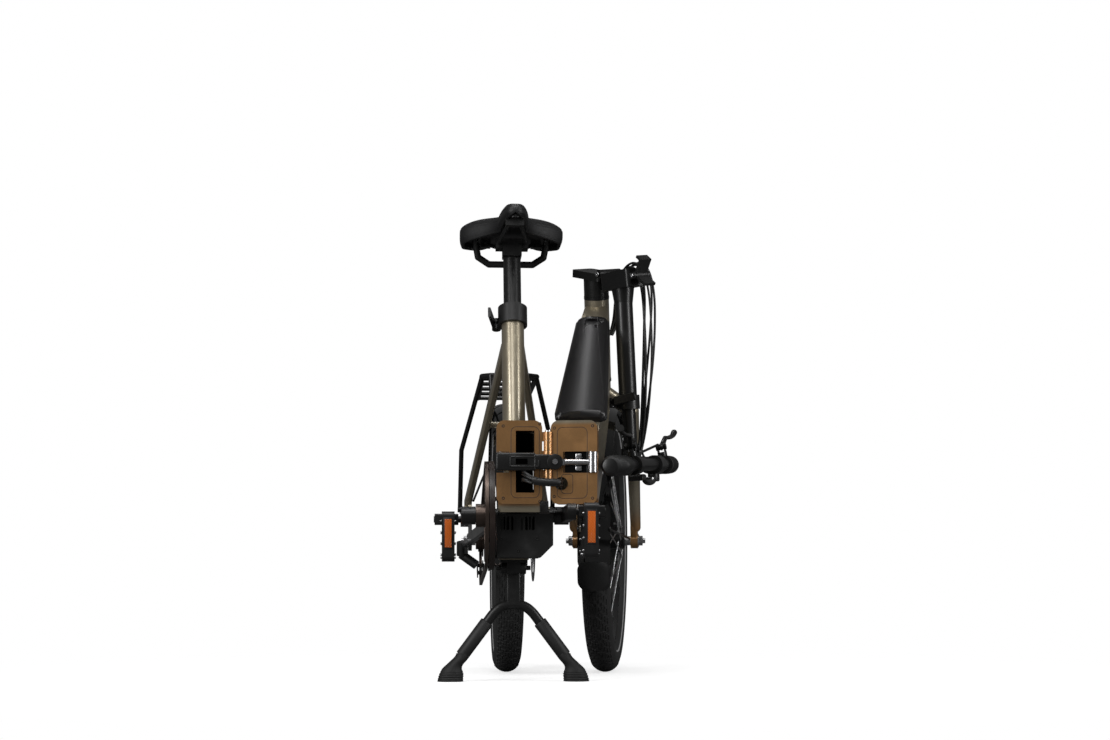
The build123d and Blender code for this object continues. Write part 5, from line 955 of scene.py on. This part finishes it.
grip_rubber = black_finish("grip_rubber", 0.01, 0.62, 1500.0, 0.0004)
for side, end in (("left", NEAR_END), ("right", FAR_END)):
    outward = (end - BAR_MIDDLE).normalized()
    back = outward.cross(POST_WAY).normalized()
    clear()
    bpy.ops.mesh.primitive_cylinder_add(vertices=56, radius=1.0, depth=1.0, end_fill_type="NGON")
    made = bpy.context.active_object
    mode("EDIT")
    for level in (0.497, *(cut / GRIP_CUTS - 0.5 for cut in range(1, GRIP_CUTS))):
        bpy.ops.mesh.select_all(action="SELECT")
        bpy.ops.mesh.bisect(plane_co=(0, 0, level), plane_no=(0, 0, 1))
    mode("OBJECT")
    for vertex in made.data.vertices:
        angle = atan2(vertex.co.y, vertex.co.x)
        share = vertex.co.z + 0.5
        size = GRIP_RADIUS + GRIP_SWELL * sin(share * pi)
        if 0.14 <= share <= 0.95:
            size += RIB_HEIGHT * sin(share * tau * GRIP_RIBS)
        size += PALM_REACH * eased_between(share, PALM) * max(0.0, cos(angle)) ** 7
        if share > 0.965:
            size -= 0.004 * (share - 0.965) / 0.035
        size *= Vector(vertex.co[:2]).length
        vertex.co = (size * cos(angle), size * sin(angle), GRIP_LENGTH * (share - 1.0))
    spin = Matrix((back, outward.cross(back), outward)).transposed().to_4x4()
    on_end = Matrix.Translation(end + outward * 0.0025) @ spin
    finished(made, side + "_hand_grip", grip_rubber, "bar", on_end, 50.0)
    facing_out(made)
    inner_ring = dowel(end - outward * RING_IN, outward, 0.0178, 0.009, 0.0008, 48)
    end_cap = dowel(end + outward * 0.003, outward, 0.0125, 0.002, 0.0006, 48)
    finished(joined([inner_ring, end_cap]), side + "_grip_ring", satin_black, "bar")
    grip_screw = screw(end - outward * RING_IN + back * GRIP_RADIUS, back, 0.0026, 0.003)
    finished(grip_screw, side + "_grip_screw", bright, "bar")
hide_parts("grips")

# Pairs of the share of the way from the fulcrum to the tip, and a size there
LEVER_THICK = ((0.0, 0.0062), (0.16, 0.0036), (0.6, 0.0032), (0.93, 0.0034), (1.0, 0.0058))
LEVER_TALL = ((0.0, 0.0058), (0.2, 0.0048), (0.5, 0.007), (0.9, 0.0056), (1.0, 0.0062))
LEVER_BEND = ((0.0, 0.0), (0.27, 1.0))
LEVER_LENGTH = 0.114
LEVER_REACH = 0.0205
LEVER_BOW = 0.004


def cut_cube(size, cuts):
    """A cube whose every side is cut into a grid."""
    clear()
    bpy.ops.mesh.primitive_cube_add(size=size)
    made = bpy.context.active_object
    mode("EDIT")
    bpy.ops.mesh.select_all(action="SELECT")
    bpy.ops.mesh.subdivide(number_cuts=cuts)
    mode("OBJECT")
    return made


for hand, end in (("left", NEAR_END), ("right", FAR_END)):
    fulcrum = Vector(hinges[hand + "_brake_pull"]["pos_m"])
    outward = (end - BAR_MIDDLE).normalized()
    rest = fulcrum - BAR_MIDDLE
    away = (rest - outward * rest.dot(outward)).normalized()
    cheek = outward.cross(away).normalized()
    made = cut_cube(2.0, 15)
    for vertex in made.data.vertices:
        share = (vertex.co.x + 1.0) / 2
        front, side = vertex.co.y, vertex.co.z
        thick = front * (1 - side * side / 2) ** 0.5 * eased_between(share, LEVER_THICK)
        tall = side * (1 - front * front / 2) ** 0.5 * eased_between(share, LEVER_TALL)
        reach = LEVER_REACH * eased_between(share, LEVER_BEND) - LEVER_BOW * sin(pi * share)
        reach += LEVER_BOW * share + 0.005 * max(0.0, (share - 0.88) / 0.12) ** 2
        spot = fulcrum + outward * (LEVER_LENGTH * share) + away * reach
        vertex.co = spot + away * thick + cheek * tall
    eye = dowel(fulcrum, cheek, 0.0064, 0.0076, 0.0008, 28)
    lever = joined([made, eye])
    finished(lever, hand + "_lever_blade", satin_black, hand + "_lever", None, 50.0)
    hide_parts(hand + "_brake_lever")

# ---------------- frame latch
# A forged bolt swings on a pin in the front plate. Its cam lever is moulded over steel, broad at
# the thumb end with a framed window, and narrows to the barrel on the bolt.

lever_low, lever_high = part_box("latch_lever")
LEVER_MIDDLE = (lever_low[2] + lever_high[2]) / 2
LEVER_NEAR, LEVER_FAR = lever_low[1], lever_high[1]
WINDOW_BARS = (
    ((-0.1145, 0.3645), (-0.0655, 0.3668)), ((-0.1145, 0.3802), (-0.0725, 0.3825)),
    ((-0.1145, 0.3645), (-0.1122, 0.3825)), ((-0.0678, 0.3645), (-0.0655, 0.3762)),
)
GUIDES_Z = (0.3595, 0.3797)
# Each length of the neck: its two ends, how far it is sunk, half its height, its rounding
LEVER_NECK = ((-0.078, -0.045, 0.0006, 0.0125, 0.0028), (-0.05, -0.034, 0.0012, 0.0105, 0.0024))

thumb_low = (lever_low[0], LEVER_NEAR, lever_low[2] + 0.0005)
lever_parts = [slab(thumb_low, (-0.071, LEVER_FAR, lever_high[2] - 0.0005), 0.0032, 3)]
for start, end, sink, half, bevel in LEVER_NECK:
    low = (start, LEVER_NEAR + sink, LEVER_MIDDLE - half)
    lever_parts.append(slab(low, (end, LEVER_FAR, LEVER_MIDDLE + half), bevel, 3))
barrel_place = (-0.0393, (LEVER_NEAR + LEVER_FAR) / 2, LEVER_MIDDLE)
lever_parts.append(dowel(barrel_place, (0, 1, 0), 0.0132, LEVER_FAR - LEVER_NEAR, 0.0014))
lever = finished(joined(lever_parts), "latch_hand_lever", satin_black, "latch_handle")
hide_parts("latch_lever")
# The window frame is a lighter, metallic grey than the lever: partly a finish that catches the lamps, partly
# painted highlight along its edges.
frame_sheen = black_finish("lever_frame_sheen", 0.06, 0.25, 500.0, 0.0002, 0.6)
bars = []
for low, high in WINDOW_BARS:
    near = (low[0], LEVER_NEAR - 0.0016, low[1])
    bars.append(slab(near, (high[0], LEVER_NEAR + 0.002, high[1]), 0.0007))
finished(joined(bars), "latch_window_frame", frame_sheen, "latch_handle")
# The window is filled with a near-black slab: painted shade in the opening.
window = slab((-0.1045, LEVER_NEAR - 0.0003, 0.3688), (-0.0845, LEVER_NEAR + 0.002, 0.3785), 0.0008)
finished(window, "latch_window", gap_shade, "latch_handle")
blocks = [slab((-0.004, FACE + 0.0012, z), (0.006, FACE + 0.012, z + 0.0078), 0.0008) for z in GUIDES_Z]
finished(joined(blocks), "latch_guide_blocks", bright, "front_half", front_tilt)

# ---------------- kickstand
# A bent steel tube forms the arch under the bracket; shrunk sleeves cover the middle of both legs
# and ribbed rubber boots spread into soles.

foot_low, foot_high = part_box("kickstand_feet")
leg_low, leg_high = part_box("kickstand_legs")
STAND_X = (foot_low[0] + foot_high[0]) / 2
STAND_Y = (leg_low[1] + leg_high[1]) / 2
STAND_TUBE = 0.0092
LEG = (
    (-0.109, 0.0195), (-0.085, 0.0535), (-0.066, 0.079), (-0.047, 0.104), (-0.033, 0.123), (-0.019, 0.1335)
)
ARCH_TOP = (0.0, 0.1375)
BOOT_HIGH = 0.0497
# Pairs of a height and a size there
BOOT_WIDE = ((0.0, 0.0228), (0.009, 0.0218), (0.034, 0.0142), (0.05, 0.0122))
BOOT_DEEP = ((0.0, 0.0185), (0.009, 0.0178), (0.034, 0.0135), (0.05, 0.0122))
BOOT_OUT = ((0.0, 0.111), (0.02, 0.1085), (0.05, 0.0885))

leg_line = [*LEG, ARCH_TOP, *((-x, z) for x, z in reversed(LEG))]
tube = hose("stand_tube", [(STAND_X + x, STAND_Y, z) for x, z in leg_line], STAND_TUBE)
neck_low = (STAND_X - 0.0125, STAND_Y - 0.008, 0.128)
neck = slab(neck_low, (STAND_X + 0.0125, STAND_Y + 0.008, leg_high[2] - 0.012), 0.003, 3)
barrel = dowel(Vector(hinges["kickstand_swing"]["pos_m"]), (1, 0, 0), 0.011, 0.044, 0.0012)
stand = joined([tube, neck, barrel])
finished(stand, "stand_tube", cast_black, "kickstand", None, 40.0)
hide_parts("kickstand_legs")
sleeve_grey = black_finish("stand_sleeve", 0.016, 0.6, 800.0, 0.0003)
sleeves, boots = [], []
for hand in (1, -1):
    foot = Vector((STAND_X + hand * 0.0895, STAND_Y, 0.047))
    top = Vector((STAND_X + hand * 0.0475, STAND_Y, 0.1035))
    leg = foot - top
    sleeves.append(dowel((foot + top) / 2, leg.normalized(), 0.0118, leg.length + 0.004, 0.0016))
    clear()
    bpy.ops.mesh.primitive_uv_sphere_add(segments=48, ring_count=48)
    boot = bpy.context.active_object
    for vertex in boot.data.vertices:
        rise = 1.0 - (atan2(Vector(vertex.co[:2]).length, vertex.co.z) / pi)
        turn = atan2(vertex.co.y, vertex.co.x)
        z = 0.0003 + BOOT_HIGH * max(0.0, min(1.0, (rise - 0.12) / 0.76))
        closing = min(1.0, min(rise, 1.0 - rise) / 0.12)
        ridge = 0.0006 * sin(z * tau / 0.0042) if 0.003 < z < 0.017 else 0.0
        squared = 1.0 + 0.1 * sin(2 * turn) ** 2 * max(0.0, 1.0 - z / 0.02)
        reach = closing**0.7 * squared
        x = hand * eased_between(z, BOOT_OUT) + (eased_between(z, BOOT_WIDE) + ridge) * reach * cos(turn)
        vertex.co = (x, (eased_between(z, BOOT_DEEP) + ridge) * reach * sin(turn), z)
    boot.data.transform(Matrix.Translation((STAND_X, STAND_Y, 0.0)))
    boots.append(boot)
finished(joined(sleeves), "stand_sleeves", sleeve_grey, "kickstand")
feet = finished(joined(boots), "stand_boots", rubber, "kickstand", None, 50.0)
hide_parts("kickstand_feet")

# ---------------- bar cables
# Brake hoses and control cables leave the head tube, arch over the folding joint and run down
# beside the post to the levers.

ROUTE = (
    (0.0894, 0.0238, 0.64), (0.1004, 0.0238, 0.664), (0.1044, 0.0118, 0.705), (0.1104, -0.0142, 0.745),
    (0.1264, -0.0462, 0.763), (0.1414, -0.0702, 0.75), (0.1494, -0.0822, 0.705), (0.1504, -0.0822, 0.645),
    (0.1494, -0.0812, 0.585), (0.1464, -0.0772, 0.525), (0.1424, -0.0682, 0.465), (0.1354, -0.0582, 0.412),
)
ENDS = (
    ((0.128, -0.12, 0.415), (0.109, -0.205, 0.425)), ((0.15, -0.02, 0.42), (0.18, 0.03, 0.435)),
    ((0.131, -0.085, 0.398),), ((0.148, -0.05, 0.402),), (),
)
BRAKE_HOSE, CONTROL_CABLE = 0.0025, 0.0021

strands = []
for index, more in enumerate(ENDS):
    points = []
    for step, (x, y, z) in enumerate(ROUTE):
        fan = 0.003 + 0.0085 * sin(pi * step / (len(ROUTE) - 1))
        turn = tau * index / len(ENDS) + 0.35 * step
        points.append((x + fan * cos(turn), y + fan * sin(turn), z + 0.35 * fan * sin(turn * 1.7)))
    strands.append(hose("strand", (*points, *more), BRAKE_HOSE if index < 2 else CONTROL_CABLE))
tangle = joined(strands)
coated(tangle, "bar_cable_run", sheath)
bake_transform(tangle)
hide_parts("bar_cables")

# ---------------- bar controls
# A thumb shifter, a small blank display and a bell are clamped beside the stem.
# The bell is spun steel, and the other two are moulded plastic cases.

BELL_AT, DISPLAY_AT, SHIFTER_AT = 0.052, -0.06, 0.098
BELL_RADIUS = 0.0135
BELL_RISE = 0.0115
DISPLAY_SIZE = (0.036, 0.026, 0.01)

bar_way = (FAR_END - NEAR_END).normalized()
up_way = -POST_WAY
over = bar_way.cross(up_way).normalized()


def on_bar(along, lift):
    """A point beside the bar, along it from its middle and up from its axis."""
    return BAR_MIDDLE + bar_way * along + up_way * lift


spots = [on_bar(along, 0) for along in (BELL_AT, DISPLAY_AT, SHIFTER_AT)]
clamps = [dowel(spot, bar_way, 0.0158, 0.011, 0.001) for spot in spots]
finished(joined(clamps), "control_clamps", satin_black, "bar")
clear()
bpy.ops.mesh.primitive_uv_sphere_add(segments=40, ring_count=24, radius=1.0)
dome = bpy.context.active_object
for vertex in dome.data.vertices:
    x, y, z = vertex.co
    vertex.co = (x * BELL_RADIUS, y * BELL_RADIUS, max(z, -0.35) * BELL_RISE)
bell_shell = bare_metal("bell_shell", (0.2, 0.2, 0.2), 0.25)
finished(dome, "bell_dome", bell_shell, "bar", put(on_bar(BELL_AT, -0.026), -up_way), 60.0)
pod = dowel(on_bar(SHIFTER_AT, -0.022), -up_way, 0.011, 0.018, 0.003)
finished(pod, "shifter_pod", moulded, "bar")
display = cut_cube(1.0, 5)
for vertex in display.data.vertices:
    x, y, z = (part * size for part, size in zip(vertex.co, DISPLAY_SIZE))
    vertex.co = (x, y, z - 0.002 * (vertex.co.x * 2) ** 2)
eased(display, 0.002, 3, 40.0)
spin = Matrix((bar_way, over, up_way)).transposed().to_4x4()
turned = Matrix.Translation(on_bar(DISPLAY_AT, -0.021)) @ spin
finished(display, "display_unit", moulded, "bar", turned, 40.0)

# ---------------- post hinge fittings
# Ground steel pins with socket heads hold the post's hinge and its latch, and a stainless keeper
# plate is screwed where the latch bites.

PINS = (("handlepost_fold", 0.0258, 0.0046), ("handlepost_latch_turn", 0.0178, 0.0038))
KEEPER_ABOVE = (0.113, -0.098, 1.0)

for name, reach, size in PINS:
    place = Vector(hinges[name]["pos_m"])
    pin_way = Vector(hinges[name]["axis"]).normalized()
    heads = [screw(place + pin_way * hand * reach, pin_way * hand, size, 0.0026) for hand in (1, -1)]
    finished(joined(heads), name + "_pin_heads", bright, "outer_post")
post = frame["nodes"]["handlepost"]
_, top_spot, top_way, _ = post.ray_cast(KEEPER_ABOVE, (0.0, 0.0, -1.0))
keeper = slab((-0.012, -0.0065, -0.003), (0.012, 0.0065, 0.00015), 0.0)
along = (pin_way - top_way * pin_way.dot(top_way)).normalized()
turn = Matrix((along, top_way.cross(along), top_way)).transposed().to_4x4()
finished(keeper, "latch_keeper", bright, "outer_post", Matrix.Translation(top_spot) @ turn)
